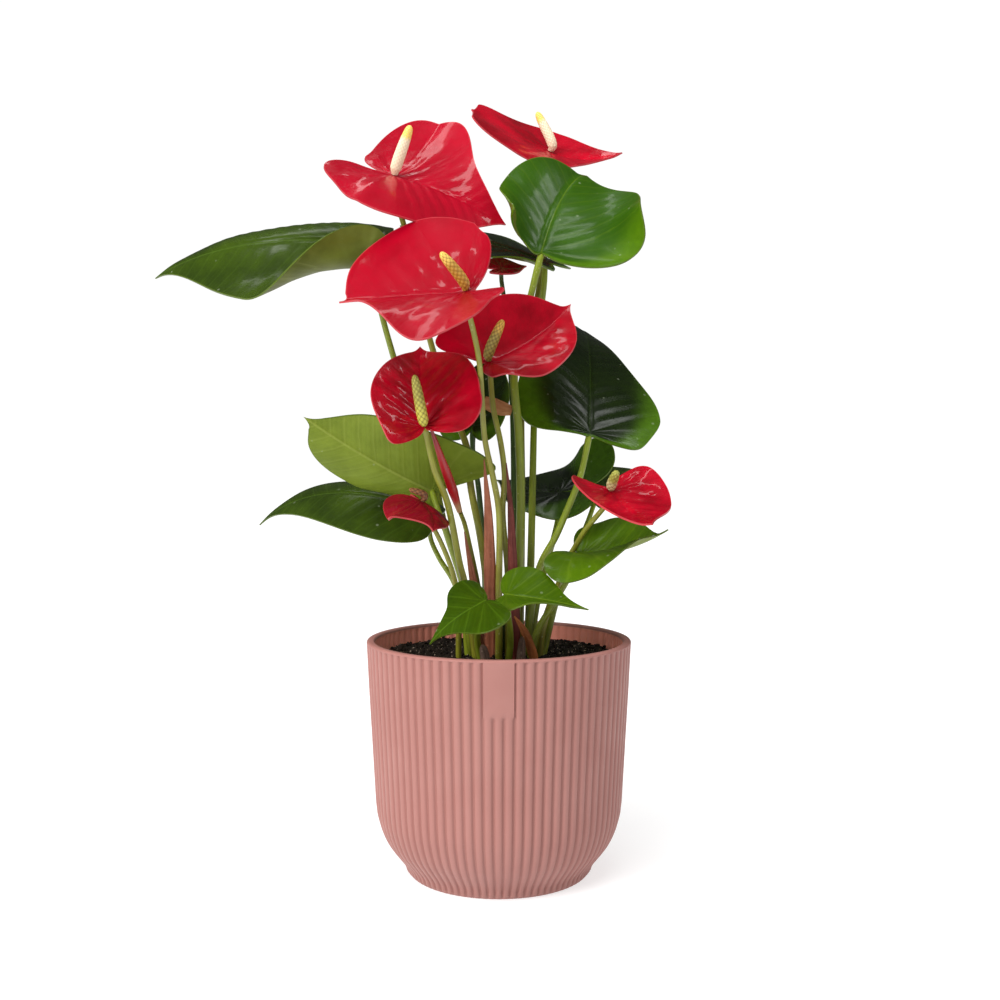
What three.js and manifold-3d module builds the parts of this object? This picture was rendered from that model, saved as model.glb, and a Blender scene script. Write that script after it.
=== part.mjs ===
import * as THREE from 'three';
import { mergeVertices } from 'three/addons/utils/BufferGeometryUtils.js';
import Module from 'manifold-3d';

// A potted anthurium: ribbed pot, soil, heart leaves, waxy red spathes with their spadices.
// Millimetres, +Z up; the pot stands on z = 0 and its front is toward -Y.

// ---- driving dimensions -------------------------------------------------------------------
const POT_RIM_R = 70;            // outside radius over the ribs at the lip
const POT_H = 122.8;             // height of the pot
const RIBS = 84;                 // reeds round the wall
const GROOVE = 0.9;              // depth of the groove between two reeds
const LIP = 4.4;                 // thickness of the lip
const PANEL_Z = 95;              // lower edge of the flat bare panel at the front
const SOIL_Z = 114;              // soil surface
const SOIL_R = 63.6;             // soil radius at the surface
const GAP = 0.3;                 // clearance between neighbouring pieces
const LEAF_T = 0.8;              // leaf blade thickness
const SPATHE_T = 0.9;            // spathe thickness

const wasm = await Module();
wasm.setup();
const rad = THREE.MathUtils.degToRad;
const V = (x, y, z) => new THREE.Vector3(x, y, z);

// ---- closed meshes ------------------------------------------------------------------------
const geometry = (points, index) => {
  const g = new THREE.BufferGeometry();
  g.setAttribute('position', new THREE.Float32BufferAttribute(points.flatMap((p) => [p.x, p.y, p.z]), 3));
  g.setIndex(index);
  return g;
};

const toManifold = (g) => {
  const m = g.clone();
  m.deleteAttribute('normal');
  m.deleteAttribute('uv');
  const w = mergeVertices(m, 1e-5);
  return new wasm.Manifold(new wasm.Mesh({
    numProp: 3,
    vertProperties: new Float32Array(w.attributes.position.array),
    triVerts: new Uint32Array(w.index.array),
  }));
};

const fromManifold = (m) => {
  const mesh = m.getMesh();
  const g = new THREE.BufferGeometry();
  g.setAttribute('position', new THREE.Float32BufferAttribute(Float32Array.from(mesh.vertProperties), 3));
  g.setIndex(new THREE.Uint32BufferAttribute(Uint32Array.from(mesh.triVerts), 1));
  return g;
};

// rings of equal count, closed by a fan at each end; the rings run counter-clockwise seen from
// the end of the loft
const loft = (rings) => {
  const n = rings[0].length;
  const points = rings.flat();
  const index = [];
  for (let r = 0; r + 1 < rings.length; r += 1) {
    for (let i = 0; i < n; i += 1) {
      const a = r * n + i;
      const b = r * n + ((i + 1) % n);
      index.push(a, b, b + n, a, b + n, a + n);
    }
  }
  const middle = (ring) => ring.reduce((s, p) => s.add(p), V(0, 0, 0)).divideScalar(n);
  const first = points.push(middle(rings[0])) - 1;
  const last = points.push(middle(rings.at(-1))) - 1;
  const top = (rings.length - 1) * n;
  for (let i = 0; i < n; i += 1) {
    const j = (i + 1) % n;
    index.push(first, j, i, last, top + i, top + j);
  }
  return geometry(points, index);
};

// rings of a round or flattened stalk along a smooth path; half: half widths along the path,
// grow: added all round, endNormal: turns the last ring so that it lies against a blade
const stalkRings = (path, half, { sides = 6, count = 9, flat = 1, grow = 0, across = null, endNormal = null } = {}) => {
  const curve = new THREE.CatmullRomCurve3(path.map((p) => V(...p)), false, 'centripetal');
  const at = (t) => {
    const k = t * (half.length - 1);
    const i = Math.min(Math.floor(k), half.length - 2);
    return half[i] + (half[i + 1] - half[i]) * (k - i);
  };
  let side = across ? V(...across) : V(1, 0.001, 0);
  const rings = [];
  for (let k = 0; k <= count; k += 1) {
    const t = k / count;
    const p = curve.getPointAt(t);
    const d = curve.getTangentAt(t);
    side = side.clone().addScaledVector(d, -side.dot(d)).normalize();
    let other = d.clone().cross(side);
    let wide = side;
    if (endNormal && k === count) {
      const n = V(...endNormal).normalize();
      const lay = (v) => v.clone().addScaledVector(d, -v.dot(n) / d.dot(n)).normalize();
      wide = lay(side);
      other = lay(other);
    }
    if (k === 0) p.addScaledVector(d, -grow);
    const [r, thin] = [at(t) + grow * (2 - flat), at(t) * flat + grow];
    rings.push(Array.from({ length: sides }, (_, i) => {
      const a = (2 * Math.PI * i) / sides;
      return p.clone().addScaledVector(wide, r * Math.cos(a)).addScaledVector(other, thin * Math.sin(a));
    }));
  }
  return rings;
};
const stalk = (path, half, options) => loft(stalkRings(path, half, options));

// ---- blades: leaves and spathes -------------------------------------------------------------
const smooth = (a) => { const t = THREE.MathUtils.clamp(a, 0, 1); return t * t * (3 - 2 * t); };
const bezier = (p, t) => {
  const u = 1 - t;
  const w = [u * u * u, 3 * u * u * t, 3 * u * t * t, t * t * t];
  return [0, 1].map((c) => w.reduce((s, k, i) => s + k * p[i][c], 0));
};
const BULGE_AT = [0.55, 1, 1.5, 2, 2.5];

// half margin of the flat blade: t 0 sinus, 1 back of the lobe, 2 widest point, 3 tip
const margin = (b, side, t) => {
  const w = side > 0 ? b.left : b.right;
  const { length: L, lobe, spread, wide, point, sinus = 0.03 } = b;
  const A = [-(b.notch ?? 0.02 * L), 0];
  const ear = 0.55 * (b.notch ? lobe - b.notch : lobe);
  const B = [-lobe, spread * w];
  const C = [wide * L, w];
  const T = [L, 0];
  let p;
  if (t <= 1) p = bezier([A, [A[0] - ear, sinus * w], [B[0], B[1] - 0.28 * w], B], t);
  else if (t <= 2) p = bezier([B, [B[0], B[1] + 0.3 * w], [C[0] - 0.45 * (C[0] + lobe), w], C], t - 1);
  else p = bezier([C, [C[0] + 0.42 * (1 - wide) * L, w], [L - point * L, 0.12 * w], T], t - 2);
  const bulge = (side > 0 ? b.bulgeL : b.bulgeR) ?? [];
  const out = bulge.reduce((s, k, i) => s + k * Math.exp(-(((t - BULGE_AT[i]) / 0.3) ** 2)), 0)
    * THREE.MathUtils.clamp(t * 4, 0, 1) * THREE.MathUtils.clamp((3 - t) * 5, 0, 1);
  const k = 1 + out / Math.max(Math.hypot(p[0], p[1]), 1e-6);
  return [p[0] * k, side * Math.max(p[1] * k, 0)];
};

// the flat point (x along the midrib, y to the left) carried onto the curved blade
const place = (b, x, y) => {
  const left = y >= 0;
  const w = left ? b.left : b.right;
  const L = b.length;
  const ease = b.ease ?? 1;
  const tangent = (s) => {
    const t = s >= 0 ? s / L : 0;
    const back = s < 0 ? -s / b.lobe : 0;
    const beta = rad(b.bend) * t ** ease - rad(b.lobeBend) * back;
    const psi = rad(b.sweep) * t;
    return V(Math.cos(beta) * Math.cos(psi), Math.cos(beta) * Math.sin(psi), -Math.sin(beta));
  };
  const N = 14;
  const p = V(0, 0, 0);
  for (let i = 0; i < N; i += 1) p.addScaledVector(tangent((x * (i + 0.5)) / N), x / N);
  const d = tangent(x);
  const psi = rad(b.sweep) * Math.max(x / L, 0);
  const l = V(-Math.sin(psi), Math.cos(psi), 0);
  const n = d.clone().cross(l);
  const tw = rad(b.twist) * Math.max(x / L, 0);
  const across = l.clone().multiplyScalar(Math.cos(tw)).addScaledVector(n, Math.sin(tw));
  const up = n.clone().multiplyScalar(Math.cos(tw)).addScaledVector(l, -Math.sin(tw));
  const lobes = smooth((0.45 * L - x) / (0.45 * L + 0.4 * b.lobe));
  const curl = rad(left ? b.curlL : b.curlR) + rad(left ? b.lobeCurlL : b.lobeCurlR) * lobes;
  const fold = rad(left ? b.foldL : b.foldR);
  const v = Math.abs(y);
  let out = 0;
  let rise = 0;
  for (let i = 0; i < 8; i += 1) {
    const s = (v * (i + 0.5)) / 8;
    const a = fold * smooth(s / 5) + curl * (s / w) ** (left ? b.hem ?? 1 : 1);
    out += (Math.cos(a) * v) / 8;
    rise += (Math.sin(a) * v) / 8;
  }
  p.addScaledVector(across, left ? out : -out).addScaledVector(up, rise);
  const [h, e, r] = [rad(b.heading), rad(b.rise), rad(b.roll)];
  const d0 = V(Math.cos(h) * Math.cos(e), Math.sin(h) * Math.cos(e), Math.sin(e));
  const l0 = V(-Math.sin(h), Math.cos(h), 0);
  const n0 = d0.clone().cross(l0);
  const l1 = l0.clone().multiplyScalar(Math.cos(r)).addScaledVector(n0, Math.sin(r));
  const n1 = n0.clone().multiplyScalar(Math.cos(r)).addScaledVector(l0, -Math.sin(r));
  return V(...b.at).addScaledVector(d0, p.x).addScaledVector(l1, p.y).addScaledVector(n1, p.z);
};

const bladeNormal = (b) => {
  const o = place(b, 0, 0);
  return place(b, 1, 0).sub(o).cross(place(b, 0, 1).sub(o)).normalize();
};

const MARGIN_T = [0.3, 0.62, 1, 1.35, 1.7, 2, 2.3, 2.6, 2.85];

// both faces are triangulated alike: a fan of rays from the petiole to the margin
const blade = (b, thick) => {
  const edge = [
    margin(b, 1, 0),
    ...MARGIN_T.map((t) => margin(b, 1, t)),
    margin(b, 1, 3),
    ...MARGIN_T.toReversed().map((t) => margin(b, -1, t)),
  ];
  const n = edge.length;
  const fractions = b.rings ?? [0.34, 0.68, 1];
  const middle = [place(b, 0, 0)];
  for (const f of fractions) for (const [x, y] of edge) middle.push(place(b, x * f, y * f));
  const faces = [];
  for (let i = 0; i < n; i += 1) faces.push([0, 1 + ((i + 1) % n), 1 + i]);
  for (let r = 0; r + 1 < fractions.length; r += 1) {
    for (let i = 0; i < n; i += 1) {
      const a = 1 + r * n + i;
      const c = 1 + r * n + ((i + 1) % n);
      faces.push([a, c, c + n], [a, c + n, a + n]);
    }
  }
  const normals = middle.map(() => V(0, 0, 0));
  for (const [i, j, k] of faces) {
    const f = middle[j].clone().sub(middle[i]).cross(middle[k].clone().sub(middle[i]));
    for (const q of [i, j, k]) normals[q].add(f);
  }
  normals.forEach((q) => q.normalize());
  const count = middle.length;
  const points = [
    ...middle.map((p, i) => p.clone().addScaledVector(normals[i], thick / 2)),
    ...middle.map((p, i) => p.clone().addScaledVector(normals[i], -thick / 2)),
  ];
  const index = [];
  for (const [i, j, k] of faces) index.push(i, j, k, i + count, k + count, j + count);
  const rim = 1 + (fractions.length - 1) * n;
  for (let i = 0; i < n; i += 1) {
    const a = rim + i;
    const c = rim + ((i + 1) % n);
    index.push(a, c, c + count, a, c + count, a + count);
  }
  return geometry(points, index);
};

// Each blade is given by where its stalk meets it (at), the size of the flat heart (length from
// there to the tip, half widths left and right, lobe behind, bulges of the margin), how it lies
// (heading, rise, roll, in degrees) and how it bends, folds and curls.
const BLADES = {
  L1: {
    at: [-68.3, 12, 332.5],
    length: 135, left: 55, right: 39, lobe: 12, spread: 0.58, wide: 0.2, point: 0.3,
    heading: 190, rise: 7, roll: -69, bend: 55, lobeBend: 0, sweep: 7, twist: 18,
    foldL: -14, foldR: -15, curlL: 60, curlR: -64, lobeCurlL: 113, lobeCurlR: 4,
    bulgeL: [-2, 0, 6, 3, -1],
    bulgeR: [0, 0, 0, -1, 10],
  },
  L2: {
    at: [23, 12, 329],
    length: 77.5, left: 35, right: 56.5, lobe: 5, spread: 0.56, wide: 0.15, point: 0.25,
    heading: 68.4, rise: 55.4, roll: 11.8, bend: 46, ease: 3.1, hem: 1.55, lobeBend: -39, sweep: -17, twist: -3,
    foldL: 37.5, foldR: -22, curlL: -27, curlR: 80, lobeCurlL: 105, lobeCurlR: -30,
    bulgeL: [3, 4, 4, -3, 11],
    bulgeR: [1, -2, -1, 0, 9],
  },
  L3: {
    at: [48, 0, 232],
    length: 125, left: 40, right: 37, lobe: 5, spread: 0.61, wide: 0.15, point: 0.25,
    heading: 85, rise: 52, roll: 20, bend: 50, ease: 1.5, lobeBend: -6, sweep: -7, twist: 7,
    foldL: 11, foldR: -5, curlL: -11, curlR: 6, lobeCurlL: -29, lobeCurlR: 6,
    bulgeL: [-3, -4, 0, 1, 0],
    bulgeR: [-4, 0, -1, 4, -3],
  },
  L4: {
    at: [-35, -5, 201],
    length: 78, left: 37, right: 23, lobe: 16, spread: 0.68, wide: 0.15, point: 0.22,
    heading: 202, rise: 24, roll: 75, bend: -5, lobeBend: -4, sweep: 10, twist: 4,
    foldL: -21, foldR: 21, curlL: -34, curlR: 43, lobeCurlL: 6, lobeCurlR: 44,
    bulgeL: [-10, 6, 2, 0, 5],
    bulgeR: [-13, -15, -1, 4, 14],
  },
  L5: {
    at: [-37, 7, 188],
    length: 119, left: 28, right: 27, lobe: 7, spread: 0.45, wide: 0.2, point: 0.3,
    heading: 171, rise: 26, roll: -36, bend: 68, lobeBend: 1, sweep: 9, twist: -10,
    foldL: -4, foldR: -10, curlL: -5, curlR: -33, lobeCurlL: -12, lobeCurlR: 0,
    bulgeL: [0, -2, 0, 0, 0],
    bulgeR: [-4, -4, 0, 0, 1],
  },
  L6: {
    at: [26, 42, 328],
    length: 91, left: 25, right: 24, lobe: 12, spread: 0.5, wide: 0.18, point: 0.25,
    heading: 165, rise: 23, roll: -30, bend: 14, lobeBend: 0, sweep: 4, twist: -8,
    foldL: 3, foldR: -8, curlL: 5, curlR: -13, lobeCurlL: 38, lobeCurlR: -26,
    bulgeL: [-3, -4, -2, 0, 0],
  },
  L7: {
    at: [35, 46, 199],
    length: 48, left: 27, right: 33, lobe: 30, spread: 0.53, wide: 0.15, point: 0.25,
    heading: 145, rise: -1, roll: -34, bend: -9, lobeBend: -13, sweep: -17, twist: 15,
    foldL: 10, foldR: 0, curlL: 1, curlR: -10, lobeCurlL: -21, lobeCurlR: 55,
    bulgeL: [0, 0, 2, -2, 0],
    bulgeR: [0, 0, 7, 0, 0],
  },
  L8: {
    at: [57, 60, 198],
    length: 47, left: 18, right: 19, lobe: 10, spread: 0.5, wide: 0.2, point: 0.3,
    heading: 43, rise: 36, roll: 24, bend: 44, lobeBend: 0, sweep: 5, twist: 4,
    foldL: 7, foldR: 8, curlL: -10, curlR: 0, lobeCurlL: 0, lobeCurlR: 0,
  },
  L9: {
    at: [43, -3, 168],
    length: 49, left: 34, right: 36, lobe: 10, spread: 0.59, wide: 0.18, point: 0.35,
    heading: -19, rise: 0, roll: 0, bend: -33, lobeBend: -19, sweep: 5, twist: -4, sinus: 0.2,
    foldL: 36, foldR: 24, curlL: -4, curlR: -72, lobeCurlL: -15, lobeCurlR: -17,
    bulgeL: [-4, 1, 0, 0, 6],
    bulgeR: [2, 3, 2, 0, 3],
  },
  L10: {
    at: [-7, -45, 148],
    length: 35, left: 24, right: 25, lobe: 5, spread: 0.62, wide: 0.2, point: 0.35,
    heading: 202, rise: -20, roll: -17, bend: 41, lobeBend: -1, sweep: -13, twist: 0,
    foldL: -2, foldR: 1, curlL: -3, curlR: -5, lobeCurlL: -6, lobeCurlR: 15,
    bulgeL: [1, 1, 0, 0, -2],
    bulgeR: [0, 0, 0, 0, -4],
  },
  L11: {
    at: [4, -34, 150],
    length: 42, left: 21, right: 19, lobe: 5, spread: 0.53, wide: 0.2, point: 0.35,
    heading: -16, rise: -3, roll: 30, bend: 21, lobeBend: 11, sweep: 10, twist: -12,
    foldL: 9, foldR: 21, curlL: 5, curlR: 16, lobeCurlL: -5, lobeCurlR: -36,
    bulgeR: [-3, 0, -1, 1, 0],
  },
  L12: {
    at: [-14, 12, 236],
    length: 52, left: 22, right: 22, lobe: 10, spread: 0.5, wide: 0.18, point: 0.25,
    heading: 62, rise: 64, roll: 0, bend: 10, lobeBend: 0, sweep: 0, twist: 0,
    foldL: 12, foldR: 10, curlL: 8, curlR: 8, lobeCurlL: 0, lobeCurlR: 0,
  },
  F1: {
    at: [-55.3, 7, 367.7],
    length: 65, left: 58, right: 53, lobe: 27, spread: 0.41, wide: 0.15, point: 0.22,
    heading: -14, rise: -17, roll: 19, bend: 22, lobeBend: -10, sweep: 22, twist: 38,
    foldL: 11, foldR: 7, curlL: 21, curlR: -11, lobeCurlL: 2, lobeCurlR: -27,
    bulgeL: [1, -5, 9, 0, -6],
    bulgeR: [2, 3, -4, -5, 0],
  },
  F2: {
    at: [-15.8, -63, 297.5],
    length: 62, left: 46, right: 47, lobe: 16, spread: 0.53, wide: 0.15, point: 0.22,
    heading: 169, rise: -1, roll: -26, bend: 3, lobeBend: -21, sweep: 6, twist: 16,
    foldL: 5, foldR: 44, curlL: -31, curlR: -11, lobeCurlL: 16, lobeCurlR: -14,
    bulgeL: [13, 0, 0, 5, 0],
    bulgeR: [-8, 0, -3, 1, 18],
  },
  F3: {
    at: [-5, -17, 268],
    length: 61, left: 33, right: 33, lobe: 9, spread: 0.51, wide: 0.15, point: 0.2,
    heading: 25, rise: 21, roll: 28, bend: -15, lobeBend: 23, sweep: 21, twist: 20,
    foldL: 39, foldR: 20, curlL: 3, curlR: -14, lobeCurlL: -1, lobeCurlR: -8,
    bulgeL: [-3, 8, 0, -2, 5],
    bulgeR: [0, -2, -7, 2, 3],
  },
  F4: {
    at: [-36.6, -44, 234.8],
    length: 55, left: 27, right: 34, lobe: 9, spread: 0.56, wide: 0.2, point: 0.2,
    heading: 105, rise: 60, roll: -17, bend: 23, lobeBend: 12, sweep: -4, twist: 7,
    foldL: 27, foldR: 25, curlL: 5, curlR: 5, lobeCurlL: 4, lobeCurlR: -3,
    bulgeL: [0, 2, -1, 0, 2],
    bulgeR: [-4, -1, 1, -2, 3],
  },
  F5: {
    at: [30.6, 92, 401.4],
    length: 44, left: 31, right: 31, lobe: 51, notch: 53, spread: 0.32, wide: 0.12, point: 0.22,
    heading: 4, rise: -20, roll: 32, bend: -40, lobeBend: -14, sweep: 4, twist: 1,
    foldL: 5, foldR: 11, curlL: 1, curlR: -5, lobeCurlL: -4, lobeCurlR: -20,
  },
  F6: {
    at: [57, -26, 202],
    length: 47, left: 27, right: 23, lobe: 9, spread: 0.67, wide: 0.18, point: 0.2,
    heading: -58, rise: -36, roll: 21, bend: -39, lobeBend: 7, sweep: -7, twist: 8,
    foldL: -10, foldR: 22, curlL: -6, curlR: 27, lobeCurlL: 36, lobeCurlR: -6,
    bulgeR: [-1, 2, 1, -2, 1],
  },
  F7: {
    at: [1.5, 35, 323.2],
    length: 15, left: 12, right: 10, lobe: 9, spread: 0.5, wide: 0.18, point: 0.22,
    heading: 20, rise: 8, roll: 28, bend: 0, lobeBend: 0, sweep: 0, twist: 0,
    foldL: 8, foldR: 8, curlL: 0, curlR: 0, lobeCurlL: 0, lobeCurlR: 0,
  },
  F8: {
    at: [-39, -27, 196],
    length: 27, left: 14, right: 22, lobe: 15, spread: 0.48, wide: 0.2, point: 0.22,
    heading: -45, rise: -24, roll: -7, bend: 23, lobeBend: 11, sweep: -46, twist: -1,
    foldL: -22, foldR: -24, curlL: 0, curlR: 2, lobeCurlL: -2, lobeCurlR: -29,
  },
};

// ---- stalks: base in the soil first, then up to the blade ---------------------------------------
const PETIOLES = {
  L1: { path: [[-10, 5, 106], [-20, 17, 151], [-29.8, 28, 180], [-36, 30, 207], [-45.5, 25, 233], [-56, 15, 270],
    [-64.3, 12, 302.3]], half: [2.2, 1.9, 1.7, 1.4] },
  L2: { path: [[7, 2, 106], [10.6, -1, 162], [11.6, -2, 196], [10.3, -3, 233], [8, -2, 262], [12, 9, 285],
    [17, 10, 305]], half: [2.3, 2.4, 2.1, 1.6] },
  L3: { path: [[14, -3, 106], [17, -2, 138], [22, -2, 162], [30, -2, 177], [36, -2, 191], [43, -2, 209]],
    half: [2.3, 1.9, 1.8, 1.5] },
  L4: { path: [[-13, -4, 106], [-19, -6, 152], [-27, -9, 178], [-31, -11, 190]], half: [2, 1.8, 1.4] },
  L5: { path: [[-16, 4, 106], [-19.5, 4, 138], [-24.5, 5, 153], [-32, 6, 165], [-36.7, 7, 176]],
    half: [1.8, 1.5, 1.2] },
  L6: { path: [[15, 4, 106], [17, 4, 161], [19, 18, 236], [20.3, 33, 262], [23.2, 43, 295], [25, 42, 312]],
    half: [2.2, 1.8, 1.4] },
  L7: { path: [[16, 12, 106], [20, 16, 136], [25, 24, 157], [31, 34, 175], [34, 42, 188]], half: [2.2, 1.9, 1.5] },
  L8: { path: [[22, 6, 106], [33, 18, 146], [45, 38, 170], [53, 54, 187]], half: [2, 1.7, 1.3] },
  L9: { path: [[15, -9, 106], [20, -8, 127], [28, -7, 141], [36, -5, 154]], half: [2, 1.7, 1.3] },
  L10: { path: [[-7, -16, 106], [-11, -24, 125], [-9, -36, 138]], half: [2, 1.6, 1.2] },
  L11: { path: [[4, -16, 106], [6, -22, 125], [5, -28.5, 139]], half: [2, 1.6, 1.2] },
  L12: { path: [[-6, 12, 106], [-8, 12, 163], [-11, 13, 202], [-14, 12, 222]], half: [2, 1.6, 1.3] },
};
const FLOWER_STEMS = {
  F1: { path: [[-1, -1, 106], [-9, 0, 172], [-15, 1, 204], [-17, 2, 224], [-23, 3, 240], [-36, 6, 279],
    [-50, 11, 340]], half: [2.2, 1.9, 1.6, 1.4] },
  F2: { path: [[0, -10, 106], [0, -13, 148], [0, -18, 191], [-3, -25, 209], [-7, -31, 228], [-9.7, -49, 267]],
    half: [2, 1.7, 1.4, 1.3] },
  F3: { path: [[5, -8, 106], [4.5, -9, 159], [2, -11, 191], [3, -13, 209], [1, -14, 226], [-3, -14, 245]],
    half: [1.9, 1.6, 1.5, 1.4] },
  F4: { path: [[-11, -9, 106], [-18, -15, 155], [-20, -17, 163], [-26, -29, 196], [-32, -37, 213]],
    half: [2, 1.8, 1.7, 1.5] },
  F5: { path: [[11, 8, 106], [11.9, 11, 158], [12.4, 15, 196], [13, 27, 262], [20, 46, 300], [26.2, 73, 333],
    [32.3, 90, 376.3]], half: [2.2, 1.9, 1.7, 1.4] },
  F6: { path: [[21, -3, 106], [23, -2, 127], [27, 1, 140], [32, 1, 152], [36, 0.3, 164], [39.4, -2.4, 170], [45, -11, 181]],
    half: [2, 1.7, 1.5, 1.3] },
  F7: { path: [[1, 6, 106], [7, 10, 161], [8, 16, 207], [6.5, 24, 263], [3, 32, 305]], half: [1.8, 1.6, 1.4, 1.2] },
  F8: { path: [[-21, -9, 106], [-22, -19, 152], [-29, -22, 174], [-36, -25, 187]], half: [1.6, 1.4, 1.1] },
};
const BUD_STEM = { path: [[-4, 5, 106], [-11, 3, 150], [-15, -1, 170], [-18, -6, 184], [-20, -11, 190]],
  half: [1.6, 1.4, 1.2] };
const BUD = { path: [[-20.3, -12, 190.6], [-24, -19, 203], [-27.2, -26, 213], [-34.8, -39, 236]],
  half: [1.5, 2.7, 2.4, 1.5, 0.35] };

// spadix: tip of the cone and radius; the foot stands on the spathe
const SPADICES = {
  F1: { tip: [-46, -3, 391.6], r: 3.1 },
  F2: { tip: [-26.9, -75, 314], r: 2.7 },
  F3: { tip: [2, -29, 288], r: 2.8 },
  F4: { tip: [-40.5, -57, 258.6], r: 2.7 },
  F5: { tip: [22.6, 90, 424.6], r: 3 },
  F6: { tip: [59, -36, 212], r: 2.6 },
  F8: { tip: [-45, -32, 203], r: 1.8 },
};

// papery sheaths left round the stems: flat, narrow, pointed; the fifth hangs from a leaf's stalk
const SHEATHS = {
  sheath_1: { path: [[-8, 0, 106], [-11, -1, 138], [-13, -3, 150], [-16, -6, 168], [-18, -9, 180]],
    half: [2.4, 2.8, 2.6, 1.6, 0.4], flat: 0.32 },
  sheath_2: { path: [[-4.5, -6, 106], [-4.5, -11, 150], [-5.5, -19, 190], [-7.5, -24, 218]],
    half: [3, 3.4, 3.2, 2.2, 0.4], flat: 0.3 },
  sheath_3: { path: [[9, -12, 106], [7.4, -12.8, 158], [5.8, -15, 195], [3.8, -17, 216]], half: [2.2, 2.9, 2.6, 1.8, 0.4],
    flat: 0.34 },
  sheath_4: { path: [[20, -16, 108], [16, -17, 122], [12, -18, 131], [8, -18.5, 137]], half: [1.6, 2.6, 2.2, 0.5], flat: 0.36 },
  sheath_5: { path: [[6.8, -1.8, 243.2], [2, -1.4, 244.4], [-3, 0.6, 246.2], [-8, 1.6, 248]], half: [2.6, 3.9, 4.1, 3.4],
    flat: 0.15, across: [0, 0, 1] },
};
const ROOTS = {
  root_1: { path: [[-6, -28.5, 108], [-7, -28.5, 117], [-8.4, -28.5, 124]], half: [2.4, 2.6, 2] },
  root_2: { path: [[11, -20, 108], [11.5, -20, 118], [12, -20, 127]], half: [2.4, 2.4, 1.6] },
};

// ---- materials -----------------------------------------------------------------------------
const paint = (color, roughness) => new THREE.MeshStandardMaterial({ color, roughness, metalness: 0 });
const MATERIALS = {
  pot: paint(0xc98f84, 0.6),
  soil: paint(0x2a211c, 0.95),
  leaf: paint(0x2f5a1c, 0.4),
  stem: paint(0x6d8032, 0.5),
  spathe: paint(0xc01028, 0.25),
  spadix: paint(0xe0c070, 0.6),
  sheath: paint(0x8a5a40, 0.8),
  root: paint(0x7a6a55, 0.85),
};
const group = new THREE.Group();
group.name = 'potted_anthurium';
const add = (name, g, material) => {
  const flat = g.toNonIndexed();
  flat.computeVertexNormals();
  const mesh = new THREE.Mesh(mergeVertices(flat), MATERIALS[material]);
  mesh.name = name;
  group.add(mesh);
};

// ---- pot -----------------------------------------------------------------------------------
// outside of the wall over the reeds, foot first
const WALL = [[0, 48.9], [4.5, 50.2], [13, 56.9], [23, 62.3], [38, 65.4], [PANEL_Z - 1.5, 68.5],
  [PANEL_Z, 68.6], [POT_H - 1.2, POT_RIM_R - 0.1]];
const COLUMNS = [0, 0.27, 0.73];             // groove and the two shoulders of each reed
const ring = (z, r, depth, panel = false) => Array.from({ length: RIBS * 3 }, (_, i) => {
  const rib = Math.floor(i / 3);
  const groove = i % 3 === 0;
  const a = rad(-90) + ((rib + COLUMNS[i % 3] - 0.5) * 2 * Math.PI) / RIBS;
  const bare = panel && (rib <= 1 || rib === RIBS - 1) && !(i === (RIBS - 1) * 3);
  const cut = groove && !bare ? depth : 0;
  return V((r - cut) * Math.cos(a), (r - cut) * Math.sin(a), z);
});
const body = loft([...WALL.map(([z, r]) => ring(z, r, GROOVE, z >= PANEL_Z)), ring(POT_H, POT_RIM_R - 0.1, 0)]);
// the hollow, its wall ribbed below the lip
const IN_R = POT_RIM_R - LIP;
const HOLLOW = [[3.5, 46, 0], [25, 59.8, 0], [104, IN_R - 0.9, 0.7], [POT_H - 1.2, IN_R, 0.7], [POT_H - 1, IN_R, 0],
  [POT_H + 1, IN_R, 0]];
const hollow = loft(HOLLOW.map(([z, r, depth]) => Array.from({ length: RIBS * 2 }, (_, i) => {
  const a = ((i + 0.5) * Math.PI) / RIBS;
  const k = r - (i % 2) * depth;
  return V(k * Math.cos(a), k * Math.sin(a), z);
})));
add('pot', fromManifold(toManifold(body).subtract(toManifold(hollow))), 'pot');

// ---- plant ---------------------------------------------------------------------------------
// the part of a stalk that stands in the soil, grown by the clearance
const sockets = [];
const standing = (path, half, options) => {
  const rings = stalkRings(path, half, { ...options, grow: GAP, endNormal: null });
  const out = rings.findIndex((r) => Math.min(...r.map((p) => p.z)) > SOIL_Z + 2);
  sockets.push(toManifold(loft(rings.slice(0, out + 1))));
};

for (const [key, s] of Object.entries(PETIOLES)) {
  const b = BLADES[key];
  const path = [...s.path, b.at];
  const petiole = toManifold(stalk(path, s.half, { count: 8, endNormal: bladeNormal(b).toArray() }));
  const leaf = toManifold(blade(b, LEAF_T)).add(petiole);
  standing(path, s.half, { count: 8 });
  add(`leaf_${key.slice(1)}`, fromManifold(leaf), 'leaf');
}

// moves a piece off its neighbour along a direction until the clearance is there
const seat = (make, neighbour) => {
  for (let shift = 0; shift < 4; shift += 0.1) {
    const piece = toManifold(make(shift));
    if (piece.intersect(neighbour).volume() < 1e-6 && piece.minGap(neighbour, 1) >= GAP - 0.02) return piece;
  }
  throw new Error('no seat found');
};

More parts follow.
